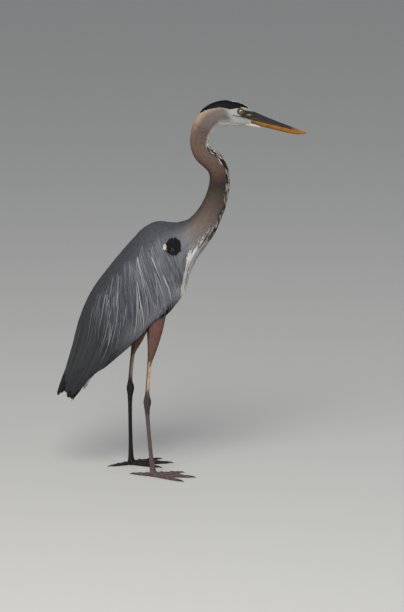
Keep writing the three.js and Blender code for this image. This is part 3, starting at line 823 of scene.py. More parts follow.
def bill_half(name, material, is_upper):
    """One half: its rings run over its arch from the right edge to the left and back along its flat."""
    way, deep, square = (1, bill_up, SQUARE_ABOVE) if is_upper else (-1, bill_down, SQUARE_BELOW)
    turn = np.linspace(0, math.pi, 31)[None]
    across = -np.sign(np.cos(turn)) * np.abs(np.cos(turn)) ** (2 / square)
    level = np.sin(turn) ** (2 / square)  # share of the depth
    groove = 0
    if is_upper:
        shown = fade(264, 270, bill_x) * fade(GROOVE_END, GROOVE_END - 45, bill_x)
        groove = GROOVE_DEPTH * np.exp(-((level - 0.46) / 0.13) ** 2) * shown
        groove = groove + NOSTRIL_DEPTH * nostril(level, 0.055)
    flat = np.linspace(1, -1, 13)[None, 1:-1]
    sag = 1.1 * (1 - flat**2) * np.minimum(bill_wide / 8, 1) * (1 if is_upper else -0.6)
    y = np.hstack([across * bill_wide * (1 - groove), flat * bill_wide])
    z = bill_z + np.hstack([way * (BILL_SLIT + deep * level), way * BILL_SLIT + sag])
    y, z = (y, z) if is_upper else (y[:, ::-1], z[:, ::-1])
    x = np.broadcast_to(bill_x, y.shape)
    tint = (upper_tint if is_upper else lower_tint)(x, np.abs(z - bill_z) / deep)
    return make_piece(name, material, [closed_net(np.stack(in_frame(x, y, z), axis=-1), tint=tint)])


def horn_material(name, roughness, darkest=0.84):
    """Horn with fine fibres and worn spots that run along the bill."""
    def pattern(add):
        place = add("ShaderNodeTexCoord")["Object"]
        drawn = add("ShaderNodeMapping", {"Vector": place, "Rotation": (0, math.radians(-15), 0),
                                          "Scale": (60, 900, 900)})[0]
        fibre = noise(add, drawn, 1.0, 4.0)
        streak = ranged(add, fibre, 0.3, 0.7, darkest, 1.12)
        patchy = ranged(add, noise(add, place, 90.0, 3.0), 0.3, 0.7, 0.85, 1.12)
        return maths(add, "MULTIPLY", streak, patchy), fibre

    return tinted_material(name, roughness, pattern, 0.3, 0.2 * MM, 0.3)


bill_horn = horn_material("bill_horn", 0.48, 0.5)
upper_bill = bill_half("upper_bill", bill_horn, True)
lower_bill = bill_half("lower_bill", bill_horn, False)
for piece, slot, node in ((upper_bill, "bill_dark", "bill_upper"), (lower_bill, "bill_orange", "bill_lower")):
    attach(piece, "root")
    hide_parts(node)

# ------------------------------------------------------------------ eyes
# Each eye is a glassy ball with a yellow iris, set as deep as in life. It bulges a little in the
# middle, and its pupil and the fine rays of its iris are drawn by the angle from its axis.
PUPIL = 0.40  # radians from the eye's axis to the edge of the pupil
BALL_END = 2.4  # radians from the eye's axis to the end of the ball, inside the head
BULGE = 0.3  # mm
IRIS_STOPS = [
    (0.0, srgb(4, 4, 4)), (PUPIL + 0.06, srgb(6, 5, 4)), (PUPIL + 0.10, srgb(120, 92, 14)),
    (PUPIL + 0.2, srgb(176, 150, 42)), (0.80, srgb(146, 116, 26)), (0.90, srgb(86, 62, 14)),
    (0.98, srgb(22, 18, 12)),
]
eye_material, eye_shader = plain_material("eye_glass", (0.5, 0.5, 0.5), 0.08)
add = adder(eye_material.node_tree)
off_axis, round_axis, _ = add("ShaderNodeSeparateXYZ", {
    "Vector": add("ShaderNodeAttribute", attribute_name="vane")["Vector"]})
rays = add("ShaderNodeCombineXYZ", {"X": round_axis, "Y": off_axis})[0]
rays = noise(add, add("ShaderNodeMapping", {"Vector": rays, "Scale": (14, 3, 1)})[0], 1.0, 3.0)
iris = add("ShaderNodeValToRGB", {"Fac": maths(add, "MULTIPLY_ADD", rays, 0.16, off_axis)})["Color"]
stops = iris.node.color_ramp.elements
while len(stops) < len(IRIS_STOPS):
    stops.new(0.5)
for stop, (place, colour) in zip(stops, IRIS_STOPS):
    stop.position, stop.color = place, (*colour, 1)
eye_material.node_tree.links.new(iris, eye_shader.inputs["Base Color"])
eye_shader.inputs["Coat Weight"].default_value = 1.0
eye_shader.inputs["Coat Roughness"].default_value = 0.02


def eye_frame(side, azimuth):
    """An eye's middle, its axis and the ways out from that axis, at angles from its front up."""
    axis = unit(np.array([0.20, side, -0.03]))
    up = unit(np.array([0, 0, 1]) - axis * axis[2])
    ahead = np.cross(up, axis) * side
    ways = np.cos(azimuth)[..., None] * ahead + np.sin(azimuth)[..., None] * up
    return EYE_AT * [1, side, 1], axis, ways


for side_name, side in SIDES.items():
    theta = np.linspace(0.02, BALL_END, 60)[:, None]
    azimuth = np.linspace(0, TURN, 72, endpoint=False)[None]
    centre, axis, ways = eye_frame(side, azimuth)
    radius = (EYE_RADIUS + BULGE * np.exp(-((theta / 0.5) ** 2))) * MM
    ball = centre + radius[..., None] * (np.cos(theta)[..., None] * axis + np.sin(theta)[..., None] * ways)
    gaze = np.stack(np.broadcast_arrays(theta, np.cos(azimuth), np.sin(azimuth)), -1)
    # The right ball's rings run the other way round, so that its faces look outward too.
    eye = make_piece(f"eyeball_{side_name}", eye_material, [closed_net(ball[:, ::side], vane=gaze)])
    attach(eye, "root")
    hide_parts(f"eye_{side_name}")

# ------------------------------------------------------------------ lids
# A ring of dark folded skin round each eye. Its inner edge rests on the eyeball and its outer
# edge sinks under the small feathers of the face.
LID_EDGE = 0.97  # radians from the eye's axis
LID_REACH = 9.6  # mm from the eye's middle to the outer edge
LID_ROUND, LID_ACROSS = 96, 40  # points of its net
ON_BALL = [(0.35, 6.2), (0.05, 6.9), (0, 7.35), (0.10, 7.85), (0.26, 7.8)]  # past the edge, and radius
CHEEK_BAND = (5, 18)  # mm from the midline, and from the eye, within which the cheek is measured
head_points = body["table"][body["at"] < 0.09][..., :3].reshape(-1, 3)


def lid_pattern(add):
    """Fine grain in an even colour."""
    return 1.0, noise(add, add("ShaderNodeTexCoord")["Object"], 1500.0, 2.0)


def cheek(x, z, side):
    """y of the head's side at x and z, in metres."""
    off_middle, off_eye = head_points[:, 1] * side / MM, from_eye(head_points)
    near = head_points[(off_middle > CHEEK_BAND[0]) & (off_eye < CHEEK_BAND[1])]
    gap = (near[None, :, 0] - x[:, None]) ** 2 + (near[None, :, 2] - z[:, None]) ** 2
    weight = 1 / (gap + (0.4 * MM) ** 2) ** 2
    return (weight * near[None, :, 1]).sum(1) / weight.sum(1)


def lid(side):
    """One lid as a closed ring: from the ball over its edge to the cheek, and back underneath."""
    azimuth = np.linspace(0, TURN, LID_ROUND, endpoint=False)
    forward, upward = np.cos(azimuth), np.sin(azimuth)
    centre, axis, ways = eye_frame(side, azimuth)
    almond = 1 - 0.07 * np.abs(upward) + 0.05 * np.maximum(forward, 0) ** 6
    loops = []
    for past_edge, radius in ON_BALL:
        theta = ((LID_EDGE + past_edge) * almond)[:, None]
        loops.append(centre + radius * MM * (np.cos(theta) * axis + np.sin(theta) * ways))
    reach = LID_REACH * (1 + 0.10 * np.maximum(forward, 0) ** 3) * MM
    x, z = centre[0] + reach * forward, centre[2] + reach * upward
    outer = np.stack([x, cheek(x, z, side), z], axis=1)
    inward = np.array([0, -side, 0])
    brow, edge = loops[-1], outer + inward * 0.4 * MM
    loops += [brow * (1 - t) + edge * t for t in (0.35, 0.7, 1.0)]
    loops = np.stack(loops + [outer + inward * 2.5 * MM])
    share = np.linspace(0, len(loops) - 1, LID_ACROSS)
    rings = between(loops, share)
    rings = blurred(rings.reshape(LID_ACROSS, -1), 1.6, 0, False).reshape(rings.shape)
    fold = 0.07 * np.sin(azimuth * 23 + 2 * np.sin(azimuth * 3))[None] + 0.12 * np.sin(share * 4.2)[:, None]
    rings = rings + (fold * MM)[..., None] * axis
    here = np.arange(LID_ACROSS * LID_ROUND).reshape(LID_ACROSS, LID_ROUND)
    quads = ring_quads(here, np.roll(here, -1, 0))
    tint = mix(srgb(36, 33, 28), srgb(92, 90, 58), fade(0.45, 0.9, share / share[-1]) * 0.55)
    return {"corners": rings.reshape(-1, 3), "quads": quads[:, ::-side], "triangles": np.zeros((0, 3), int),
            "tint": np.repeat(tint, LID_ROUND, axis=0)}


lid_material = tinted_material("lid_skin", 0.5, lid_pattern, 0.4, 0.2 * MM)
lids = make_piece("eyelids", lid_material, [lid(side) for side in SIDES.values()])
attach(lids, "root")

# ------------------------------------------------------------------ feathers of face and head
# The face has the smallest feathers of the body, white and laid back from the bill. They leave
# the lores, the lids and the line of the gape bare, and grow longer and greyer down the nape.
rng = np.random.default_rng(11)
FACE_END, HEAD_END = 0.052, 0.125  # metres down the body
HEAD_SPAN = (0, 0.14)  # s that fill the map of the head's feathers
BARE_ROUND_EYE = 8.4  # mm
BARE_GAPE = (234, 0.9)  # x from which the line of the gape is bare, and mm above and below it


def feathered(s, phi):
    """True where the head has feathers."""
    points, *_ = on_form(body, s, phi)
    x, z, _ = side_view(points)
    lid = (from_eye(points) < BARE_ROUND_EYE) & (np.abs(points[:, 1]) > EYE_BAND)
    gape = (np.abs(z - gape_line(x)) < BARE_GAPE[1]) & (x > BARE_GAPE[0])
    return (on_lores(points) < 0.5) & ~lid & ~gape


def stripe_at(s, phi):
    """The share of the black stripe over each eye."""
    return crown_marks(on_form(body, s, phi)[0])[0]


def off_stripe(s, phi):
    """True where the head has feathers that aren't black."""
    return feathered(s, phi) & (stripe_at(s, phi) < 0.6)


def even_tint(colour):
    """One colour for all the vanes of a tract."""
    return lambda s, phi, points: np.broadcast_to(colour, points.shape)


head_vane = feather_material("head_vane", 10, 1.12, roughness=0.75, shaft=0.9)
s, phi = rows_of_roots(body, (0.0015, FACE_END), 1.35 * MM, 0.95 * MM, rng, off_stripe)
face = lay(body, s, phi, sized(s, [0, 0.02, FACE_END], [2.6, 3.6, 6]),
           sized(s, [0, FACE_END], [0.75, 1.35]), rng, SMALL_VANE, sunk=0.7 * MM, lift=0.3 * MM,
           twist=0.12, span=HEAD_SPAN, mottle=0.05)
chin_s, chin_phi = rows_of_roots(chin, (0.0005, chin["at"][-1]), 1.3 * MM, 0.9 * MM, rng)
chin_vanes = lay(chin, chin_s, chin_phi, 4.2 * MM, 0.8 * MM, rng, SMALL_VANE, sunk=0.4 * MM, lift=0.3 * MM,
                 twist=0.12, tint=even_tint(SOFT_WHITE), mottle=0.05)
face_feathers = make_piece("face_feathers", head_vane, [face, chin_vanes])
s, phi = rows_of_roots(body, (FACE_END, HEAD_END), 2.3 * MM, 1.15 * MM, rng, off_stripe)
head_batch = lay(body, s, phi, sized(s, [FACE_END, HEAD_END], [6.5, 11]),
                 sized(s, [FACE_END, HEAD_END], [1.35, 1.7]), rng, SMALL_VANE, sunk=0.9 * MM,
                 lift=0.4 * MM, twist=0.09, span=HEAD_SPAN)
head_feathers = make_piece("head_feathers", head_vane, [head_batch])
for piece in (face_feathers, head_feathers):
    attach(piece, "root")

# ------------------------------------------------------------------ black crown plumes
# Two black stripes of glossy plumes run back over the eyes and end in short points on the nape.
rng = np.random.default_rng(21)
s, phi = rows_of_roots(body, (0.004, 0.112), 2.0 * MM, 1.3 * MM, rng,
                       lambda s, phi: (stripe_at(s, phi) > 0.5) & feathered(s, phi))
reach = sized(s, [0, 0.03, 0.07, 0.112], [4, 8, 13, 15])


def toward_nape(s, phi):
    """The stripe's plumes turn a little upwards, so that both stripes meet on the nape."""
    return -0.10 * fade(0.03, 0.09, s) * fade(0, 0.5, round_from_back(phi))


crown = lay(body, s, phi, reach, sized(s, [0, 0.118], [1.1, 2.2]), rng, BODY_VANE, lean=toward_nape,
            sunk=0.6 * MM, lift=1.2 * MM, twist=0.05, span=HEAD_SPAN, mottle=0.15,
            tint=even_tint(srgb(15, 16, 19)))
crown_plumes = make_piece("crown_plumes", feather_material("crown_vane", 24, 1.0, roughness=0.5), [crown])
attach(crown_plumes, "root")
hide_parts("crest_right", "crest_left")

# ------------------------------------------------------------------ neck feathers
# The neck's feathers are narrow and soft, almost like hair. They lie straight down it, longer
# towards its root. Its front carries a white line between rows of black and white streaks.
rng = np.random.default_rng(12)
neck_vane = feather_material("neck_vane", 22, 1.15, roughness=0.75, shaft=0.9)
NECK_SPANS = {"upper": (0.118, 0.27), "lower": (0.27, 0.475)}
for part, (start, end) in NECK_SPANS.items():
    s, phi = rows_of_roots(body, (start, end), 4.0 * MM, 1.75 * MM if part == "upper" else 2.3 * MM, rng)
    length = sized(s, [0.118, 0.2, 0.475], [10, 15, 24])
    width = sized(s, [0.118, 0.2, 0.475], [1.7, 2.1, 3.0])
    batch = lay(body, s, phi, length, width, rng, SMALL_VANE, sunk=1.7 * MM, lift=0.5 * MM, twist=0.10,
                mottle=0.10)
    piece = make_piece(f"neck_feathers_{part}", neck_vane, [batch])
    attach(piece, "root")

# The streaks of its front, on either side of the line that stays white.
STREAKS, DARK_SHARE = 800, 0.66
WHITE_LINE = 0.12  # its half width in radians
rng = np.random.default_rng(22)
s = rng.uniform(0.175, 0.47, STREAKS)
off_front = rng.choice([-1, 1], STREAKS) * np.abs(rng.normal(0.30, 0.15, STREAKS))
dark = (rng.uniform(size=STREAKS) < DARK_SHARE) & (np.abs(off_front) > WHITE_LINE)


def streak_tint(s, phi, points):
    """White or buff vanes, and black ones off the middle of the front."""
    light = mix(SOFT_WHITE, srgb(176, 158, 140), rng.uniform(0, 0.7, STREAKS))
    return np.where(dark[:, None], srgb(34, 32, 34), light)


streaks = lay(body, s, math.pi + off_front, rng.uniform(15, 30, STREAKS) * MM,
              rng.uniform(1.4, 2.4, STREAKS) * MM, rng, PLUME_VANE, sunk=1.2 * MM, lift=2.6 * MM, twist=0.13,
              tint=streak_tint)
foreneck_streaks = make_piece("foreneck_streaks", neck_vane, [streaks])
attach(foreneck_streaks, "root")

# ------------------------------------------------------------------ back and wing coverts
# Slate feathers cover the back and both folded wings. They are small on the shoulders and grow
# down the wing, and they lean from the back towards the wing's lower edge. Each is a loose vane.


def wing_lean(s, phi):
    """The angle by which the coat leans from the body's line towards the belly."""
    by_length = np.interp(s, [0.40, 0.47, 0.56, 0.66, 0.80, 0.92], [0, 0.18, 0.50, 0.42, 0.16, 0.0])
    return by_length * np.sin(np.clip(round_from_back(phi) / 2.9, 0, 1) * math.pi) ** 0.8


def on_mantle(s, phi):
    """True on the back between the wings."""
    edge = np.interp(s, [0.44, 0.50, 0.65, 0.80], [0.80, 0.66, 0.52, 0.36])
    return round_from_back(phi) < edge


covert_vane = feather_material("covert_vane", 26, 1.14)
COATS = {
    "mantle_feathers": ("back_feathers", ["mantle"], on_mantle),
    "covert_feathers": ("wing_feathers", ["wing_coverts_right", "wing_coverts_left"],
                        lambda s, phi: ~on_mantle(s, phi)),
}
for name, (slot, nodes, keep) in COATS.items():
    rng = np.random.default_rng(13)
    s, phi = rows_of_roots(body, (0.435, 0.82), lambda s: sized(s, [0.44, 0.6], [5.0, 6.4]),
                           lambda s: sized(s, [0.44, 0.6], [3.2, 4.2]), rng, keep, (0, 2.66))
    s, phi = thinned(s, phi, 0.73, 0.83, 0.85, rng)
    length = sized(s, [0.44, 0.52, 0.62, 0.8], [17, 23, 32, 44])
    width = sized(s, [0.44, 0.52, 0.62, 0.8], [5.0, 6.2, 8.0, 9.5])
    batch = lay(body, s, phi, length, width, rng, BODY_VANE, lean=wing_lean, sunk=2.5 * MM, lift=0.7 * MM,
                twist=0.09, mottle=0.10, limit=lambda s: np.interp(s, [0.5, 0.83, 0.9], [2.75, 2.45, 2.1]),
                tip_tone=1.08)
    piece = make_piece(name, covert_vane, [batch])
    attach(piece, "root")
    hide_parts(*nodes)

# ------------------------------------------------------------------ belly
# Under the body the feathers are black and rufous in front, black between the legs and pale
# under the tail. They are soft and lie close.
rng = np.random.default_rng(14)
s, phi = rows_of_roots(body, (0.47, 0.836), 5.5 * MM, 3.8 * MM, rng, phi_range=(2.40, math.pi))
length = sized(s, [0.44, 0.55, 0.8], [20, 28, 34])
belly = lay(body, s, phi, length, length * 0.22, rng, BODY_VANE, sunk=3 * MM, lift=0.5 * MM, twist=0.12,
            mottle=0.14)
belly_feathers = make_piece("belly_feathers", feather_material("belly_vane", 24, 1.1, roughness=0.7), [belly])
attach(belly_feathers, "root")

# ------------------------------------------------------------------ folded wings
# Behind the trunk the folded wings are a roof of long stiff feathers, open below. The inner ones
# lie as a thin dark shell, and the quills that show lie over it, longest last.
QUILL = [(0, 0.7), (0.12, 0.85), (0.25, 0.95), (0.4, 1), (0.55, 1), (0.68, 1), (0.79, 0.97), (0.88, 0.9),
         (0.94, 0.8), (0.97, 0.64), (0.989, 0.4)]
BROAD = (-1, -0.5, 0, 0.5, 1)
REAR_END = 0.925  # metres down the body to where its closing end starts
WING_PARTS = ("mantle", "scapulars", "shoulder_patch", "wing")
wing_nodes = [number for number, node in enumerate(BODY_NODES) if node.startswith(WING_PARTS)]
on_wing = np.isin(body["node_at"], wing_nodes)
half = BODY_COLUMNS // 2
edge_columns = np.where(on_wing[:, :half], np.arange(half), 0).max(axis=1)
wing_edge_at = blurred(edge_columns[:, None] / half * math.pi, 4, 0, False)[:, 0]


def wing_edge(s):
    """How far round from the back the folded wing reaches at s."""
    return np.interp(s, body["at"], wing_edge_at)


def roof(s_range, outside, inside):
    """A thin closed shell over the back from one wing's lower edge to the other's."""
    s_all, share = np.meshgrid(np.linspace(*s_range, 60), np.linspace(-1, 1, 49), indexing="ij")
    point, normal, _, _ = on_form(body, s_all, share * (wing_edge(s_all) - 0.05))
    rows = np.concatenate([point - normal * outside, (point - normal * inside)[:, ::-1]], axis=1)
    return closed_net(rows, tint=np.broadcast_to(srgb(40, 40, 42), rows.shape), vane=np.full(rows.shape, 0.5))


quill_material = feather_material("quill_vane", 150, 1.18, roughness=0.5, bump=0.4, shaft=0.6)
rng = np.random.default_rng(15)
rear = {key: value[:np.searchsorted(body["at"], REAR_END)] for key, value in body.items()}


def quill_row(root_s, tip_s, phis, width, heights, colours, tip_tone):
    """One row of long quills on both wings, from the lowest to the highest."""
    batches = []
    for side in (1, -1):
        s = root_s + rng.uniform(-1, 1, len(phis)) * 2 * MM
        batches.append(lay(rear, s, phis * side, tip_s - root_s, width * MM, rng, QUILL, lean=wing_lean,
                           sunk=1.0 * MM, lift=np.linspace(*heights, len(phis)) * MM, crown=0.05,
                           twist=0.012, section=BROAD, mottle=0.10, tip_tone=tip_tone,
                           tint=lambda s, phi, points: mix(*colours, fade(1.0, 2.4, np.abs(phi))),
                           limit=lambda s: wing_edge(np.minimum(s, 0.90))))
    return batches


rear_shell = make_piece("inner_quills", quill_material, [roof((0.70, 0.945), 2.5 * MM, 4.5 * MM)])
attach(rear_shell, "root")

primaries = quill_row(0.74, np.linspace(0.932, 0.949, 10), np.linspace(1.95, 0.12, 10), 21,
                      (-1.2, 0.2), (srgb(43, 43, 45), srgb(35, 35, 37)), 0.7)
primary_quills = make_piece("primary_quills", quill_material, primaries)
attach(primary_quills, "root")
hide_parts("wing_primaries_right", "wing_primaries_left")

fan = np.linspace(2.6, 0.10, 18)
secondary_tips = np.interp(fan, [0.1, 0.5, 0.8, 1.4, 2.6], [0.905, 0.940, 0.944, 0.940, 0.815])
secondaries = quill_row(0.655, secondary_tips, fan, 19,
                        (0.2, 1.2), (srgb(62, 63, 66), srgb(80, 80, 85)), 0.72)
secondaries += quill_row(0.70, np.linspace(0.86, 0.925, 9), np.linspace(1.5, 0.16, 9), 17,
                         (1.6, 2.2), (srgb(66, 67, 70), srgb(80, 80, 85)), 0.8)
secondary_quills = make_piece("secondary_quills", quill_material, secondaries)
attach(secondary_quills, "root")
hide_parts("wing_secondaries_right", "wing_secondaries_left")

# ------------------------------------------------------------------ tail
# Twelve short square quills, closed like a fan under the wing tips.
TAIL_LINE = [(-100, 306), (-121, 267), (-142, 229), (-159, 197), (-165, 186)]
TAIL_HALF_WIDTH = 21
TAIL_QUILLS = 12
rng = np.random.default_rng(16)


def free_vanes(lines, sides, widths, outline, crown, colour, root_place, section=BROAD, tip_tone=1.0):
    """Vanes along given lines of points, each with its sideways direction, not tied to a form."""
    share = np.array([v for v, _ in outline] + [1.0])
    middle = between(lines.swapaxes(0, 1), share * (lines.shape[1] - 1)).swapaxes(0, 1)
    along = unit(np.gradient(middle, axis=1))
    sides = np.repeat(unit(sides)[:, None], len(share), axis=1)
    sides = unit(sides - along * (sides * along).sum(-1, keepdims=True))
    face = np.cross(along, sides)
    points = []
    for k, (_, broad) in enumerate(outline):
        for u in section:
            off, rise = u * widths * broad / 2, ridge(crown, widths, broad, u)
            points.append(middle[:, k] + sides[:, k] * off[:, None] + face[:, k] * rise[:, None])
    points.append(middle[:, -1])
    chance = np.random.default_rng(len(lines)).uniform(size=len(lines))
    return vane_batch(np.stack(points, 1), section, colour, chance, root_place, outline, tip_tone)


tail_at, tail_middle = smooth_line([in_frame(x, 0, z) for x, z in TAIL_LINE], 6 * MM)
across = np.linspace(-1, 1, TAIL_QUILLS)
spread = np.interp(np.linspace(0, 1, len(tail_at)), [0, 0.4, 1], [0.5, 0.95, 0.8])
tail_lines = np.tile(tail_middle, (TAIL_QUILLS, 1, 1))
tail_lines[..., 1] += across[:, None] * TAIL_HALF_WIDTH * MM * spread
tail_lines[..., 2] += ((1 - np.abs(across)) * 2.2 - 1.0)[:, None] * MM
tail_sides = np.stack([0 * across, 0 * across - 1, -0.12 * across], axis=1)
tail_batch = free_vanes(
    tail_lines, tail_sides, np.full(TAIL_QUILLS, 15 * MM), QUILL, 0.05,
    srgb(56, 58, 63) * rng.uniform(0.9, 1.1, (TAIL_QUILLS, 1)),
    np.stack([0.5 + 0.03 * across, np.full(TAIL_QUILLS, 0.975)], 1), tip_tone=0.5,
)
tail_quills = make_piece("tail_quills", quill_material, [tail_batch])
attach(tail_quills, "root")
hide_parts("tail")

# ------------------------------------------------------------------ undertail
# Soft pale feathers lie along the underside of the tail, from the vent nearly to its end.
TAIL_WAY, TAIL_UNDER = (-0.49, -0.87), (0.87, -0.49)  # x and z of the ways down the tail and off it
UNDERTAIL_HALF_WIDTH = 19
rng = np.random.default_rng(23)
count = 130
down_tail = rng.uniform(0, 1, count)
off_middle = rng.uniform(-UNDERTAIL_HALF_WIDTH, UNDERTAIL_HALF_WIDTH, count)
start = np.stack([np.interp(down_tail, [0, 1], [-69, -124]) - np.abs(off_middle) * 0.12, off_middle,
                  np.interp(down_tail, [0, 1], [326, 241])], axis=1)
way = np.stack([np.full(count, TAIL_WAY[0]), rng.normal(0, 0.05, count), np.full(count, TAIL_WAY[1])], axis=1)
length = rng.uniform(24, 36, count)[:, None, None]
t = np.linspace(0, 1, 8)[None, :, None]
off_tail = np.array([TAIL_UNDER[0], 0, TAIL_UNDER[1]]) * 3.0 * np.sin(t * math.pi * 0.8) ** 2
under = (start[:, None] + way[:, None] * length * t + off_tail) - [BODY_SHIFT, 0, 0]
roll = off_middle / UNDERTAIL_HALF_WIDTH * 1.1
under_sides = np.stack([-TAIL_UNDER[0] * np.sin(roll), np.cos(roll), -TAIL_UNDER[1] * np.sin(roll)], axis=1)
under_colour = mix(srgb(128, 126, 124), srgb(196, 193, 188), rng.uniform(0, 1, count))
under_batch = free_vanes(
    under * MM, under_sides, rng.uniform(5, 8, count) * MM, BODY_VANE, 0.15, under_colour,
    np.stack([0.5 + off_middle / 400, 0.88 + 0.08 * down_tail], 1), NARROW,
)
undertail = make_piece("undertail_feathers", feather_material("undertail_vane", 24, 1.05), [under_batch])
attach(undertail, "root")

# ------------------------------------------------------------------ long plumes of the shoulders
# In its breeding coat the bird has long thin plumes that spring from its shoulders and hang down
# over the folded wings, the slate ones under the pale ones. They stand off the coat a little.
PLUME = [(0, 0.25), (0.08, 0.6), (0.2, 1), (0.36, 1), (0.5, 0.9), (0.63, 0.75), (0.75, 0.6), (0.86, 0.42),
         (0.94, 0.25)]
PLUME_PALE = srgb(112, 114, 120), srgb(178, 179, 183)
PLUME_SLATE = srgb(72, 74, 80), srgb(108, 110, 118)
PLUME_TONES = ([0.50, 0.56, 0.60, 0.72], [1.25, 1.15, 0.95, 0.6])  # s of the root, and how light it is


def hanging(s, phi):
    """The angle from the body's line at which a plume hangs: forwards in front, backwards behind."""
    _, _, d_along, d_round = on_form(body, s, phi)
    side = np.where(phi >= 0, 1.0, -1.0)[:, None]
    drift = np.interp(s, [0.50, 0.58, 0.66, 0.76, 0.84], [0.34, 0.26, 0.02, -0.22, -0.40])
    down = np.stack([drift, np.zeros_like(drift), np.full_like(drift, -1.0)], axis=-1)
    angle = np.arctan2((unit(d_round) * side * down).sum(-1), (unit(d_along) * down).sum(-1))
    return np.clip(angle, -0.1, 1.2)


def shoulder_plumes(count, s_range, phi_range, lengths, widths, colours, lift):
    """Plumes on both shoulders from scattered roots."""
    batches = []
    for side in (1, -1):
        along = rng.uniform(0, 1, count)
        s = s_range[0] + along * (s_range[1] - s_range[0])
        phi = side * rng.uniform(*phi_range, count) * np.interp(along, [0, 1], [1.0, 0.72])
        shade = mix(*colours, rng.uniform(0, 1, count) ** 1.2) * np.interp(s, *PLUME_TONES)[:, None]
        batches.append(lay(body, s, phi, rng.uniform(*lengths, count) * MM, rng.uniform(*widths, count) * MM,
                           rng, PLUME, lean=hanging, sunk=1.2 * lift + MM, lift=lift, crown=0.25, twist=0.07,
                           tint=lambda s, phi, points: shade, limit=wing_edge, rise=5))
    return batches


rng = np.random.default_rng(17)
plumes = shoulder_plumes(240, (0.49, 0.70), (0.45, 1.55), (50, 120), (2.6, 4.2), PLUME_SLATE, 2.4 * MM)
plumes += shoulder_plumes(62, (0.535, 0.705), (0.50, 1.50), (85, 160), (1.4, 2.2), PLUME_PALE, 4.0 * MM)
scapular_plumes = make_piece("scapular_plumes", feather_material("plume_vane", 70, 1.0, shaft=1.12), plumes)
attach(scapular_plumes, "root")
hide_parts("scapulars_right", "scapulars_left")

# ------------------------------------------------------------------ black shoulder patch
# At the bend of each wing stands a tuft of short black feathers. A small white feather lies at
# its rear end, and a grey one in its middle.
PATCH = (82, 586, 17.5, 17.5)  # x, z, half width and half height of the roots' oval, mm
PATCH_REACH = (0.43, 0.56), (0.6, 2.4)  # s and phi within which its roots are looked for
WHITE_SPOTS = [(61.5, 585, 4.2, srgb(226, 206, 180)), (80, 580, 1.9, srgb(130, 132, 138))]
rng = np.random.default_rng(18)


def in_patch(s, phi):
    """True on the tuft's oval."""
    x, z, _ = side_view(on_form(body, s, phi)[0])
    return ((x - PATCH[0]) / PATCH[2]) ** 2 + ((z - PATCH[1]) / PATCH[3]) ** 2 < 1


def in_white_feather(s, phi):
    """True at the root of the white feather."""
    x, z, _ = side_view(on_form(body, s, phi)[0])
    return np.hypot(x - WHITE_SPOTS[0][0], z - WHITE_SPOTS[0][1]) < WHITE_SPOTS[0][2]


def patch_tint(s, phi, points):
    """Black, with the white and the grey feather."""
    x, z, _ = side_view(points)
    tint = np.broadcast_to(srgb(16, 18, 23), points.shape)
    for at_x, at_z, radius, colour in WHITE_SPOTS:
        tint = mix(tint, colour, fade(radius + 1, radius - 1, np.hypot(x - at_x, z - at_z)))
    return tint


def patch_lean(s, phi):
    """The tuft hangs a little less than the plumes do."""
    return 0.75 * hanging(s, phi)


s_range, phi_range = PATCH_REACH
roots = rows_of_roots(body, s_range, 2.6 * MM, 2.2 * MM, rng, in_patch, phi_range)
spot_roots = rows_of_roots(body, s_range, 1.2 * MM, 1.6 * MM, rng, in_white_feather, phi_range)
patch = [lay(body, *places, 11 * MM, width * MM, rng, BODY_VANE, lean=patch_lean, sunk=1.5 * MM,
             lift=3.6 * MM, twist=0.16, tint=patch_tint, rise=rise)
         for places, width, rise in ((roots, 3.4, 4), (spot_roots, 2.2, 3))]
patch_vane = feather_material("patch_vane", 24, 1.0, roughness=0.55)
patch_feathers = make_piece("shoulder_patch_feathers", patch_vane, patch)
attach(patch_feathers, "root")
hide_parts("shoulder_patch_right", "shoulder_patch_left")

# ------------------------------------------------------------------ breast plumes
# Long narrow plumes, mostly pale, spring from the front of the lower neck and hang in front of
# the breast, free of it. Each is a tapering vane along its own hanging curve.
PLUME_ENDS = [(158, 572), (148, 550), (136, 528), (124, 498), (116, 470), (111, 442)]  # x and z, mm
rng = np.random.default_rng(19)
count = 400
share_down = rng.uniform(0, 1, count) ** 0.8
root_s = 0.365 + 0.105 * share_down + rng.normal(0, 0.006, count)
widest = np.interp(share_down, [0, 0.4, 1], [0.7, 1.2, 1.6])
root_phi = math.pi + rng.uniform(-1, 1, count) * widest
root, out, down, _ = on_form(body, root_s, root_phi)
end_share = (share_down + rng.normal(0.0, 0.10, count)).clip(0, 1) * (len(PLUME_ENDS) - 1)
end_x, end_z = (np.interp(end_share, range(len(PLUME_ENDS)), column) for column in zip(*PLUME_ENDS))
off_side = root[:, 1] / MM
end_x = end_x - np.abs(off_side) * 0.30 + rng.normal(0, 1.5, count)
end = np.stack(in_frame(end_x, off_side * 0.62, end_z), axis=1)
reach = np.linalg.norm(end - root, axis=1, keepdims=True)
bends = [root - out * 0.6 * MM, root + out * 5.0 * MM + unit(down) * reach * 0.38,
         end + np.array([0.10, 0, 1.0]) * reach * 0.34, end]
t = np.linspace(0, 1, 14)[None, :, None]
lines = sum(weight * bend[:, None] for weight, bend in zip(
    ((1 - t) ** 3, 3 * t * (1 - t) ** 2, 3 * t * t * (1 - t), t**3), bends))
dark = (rng.uniform(size=count) < 0.28 - 0.26 * share_down)[:, None]
paleness = (rng.uniform(0, 0.55, count) + 0.95 * share_down**1.6).clip(0, 1)
colour = np.where(dark, srgb(60, 58, 61), mix(srgb(88, 85, 86), srgb(232, 229, 225), paleness))
plumes = free_vanes(lines, np.cross(unit(down), out), rng.uniform(1.9, 3.3, count) * MM, PLUME, 0.2, colour,
                    np.stack([root_phi / TURN, root_s], 1), NARROW)
breast_vane = feather_material("breast_vane", 70, 1.0, shaft=1.08)
breast_plumes = make_piece("breast_plume_feathers", breast_vane, [plumes])
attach(breast_plumes, "root")
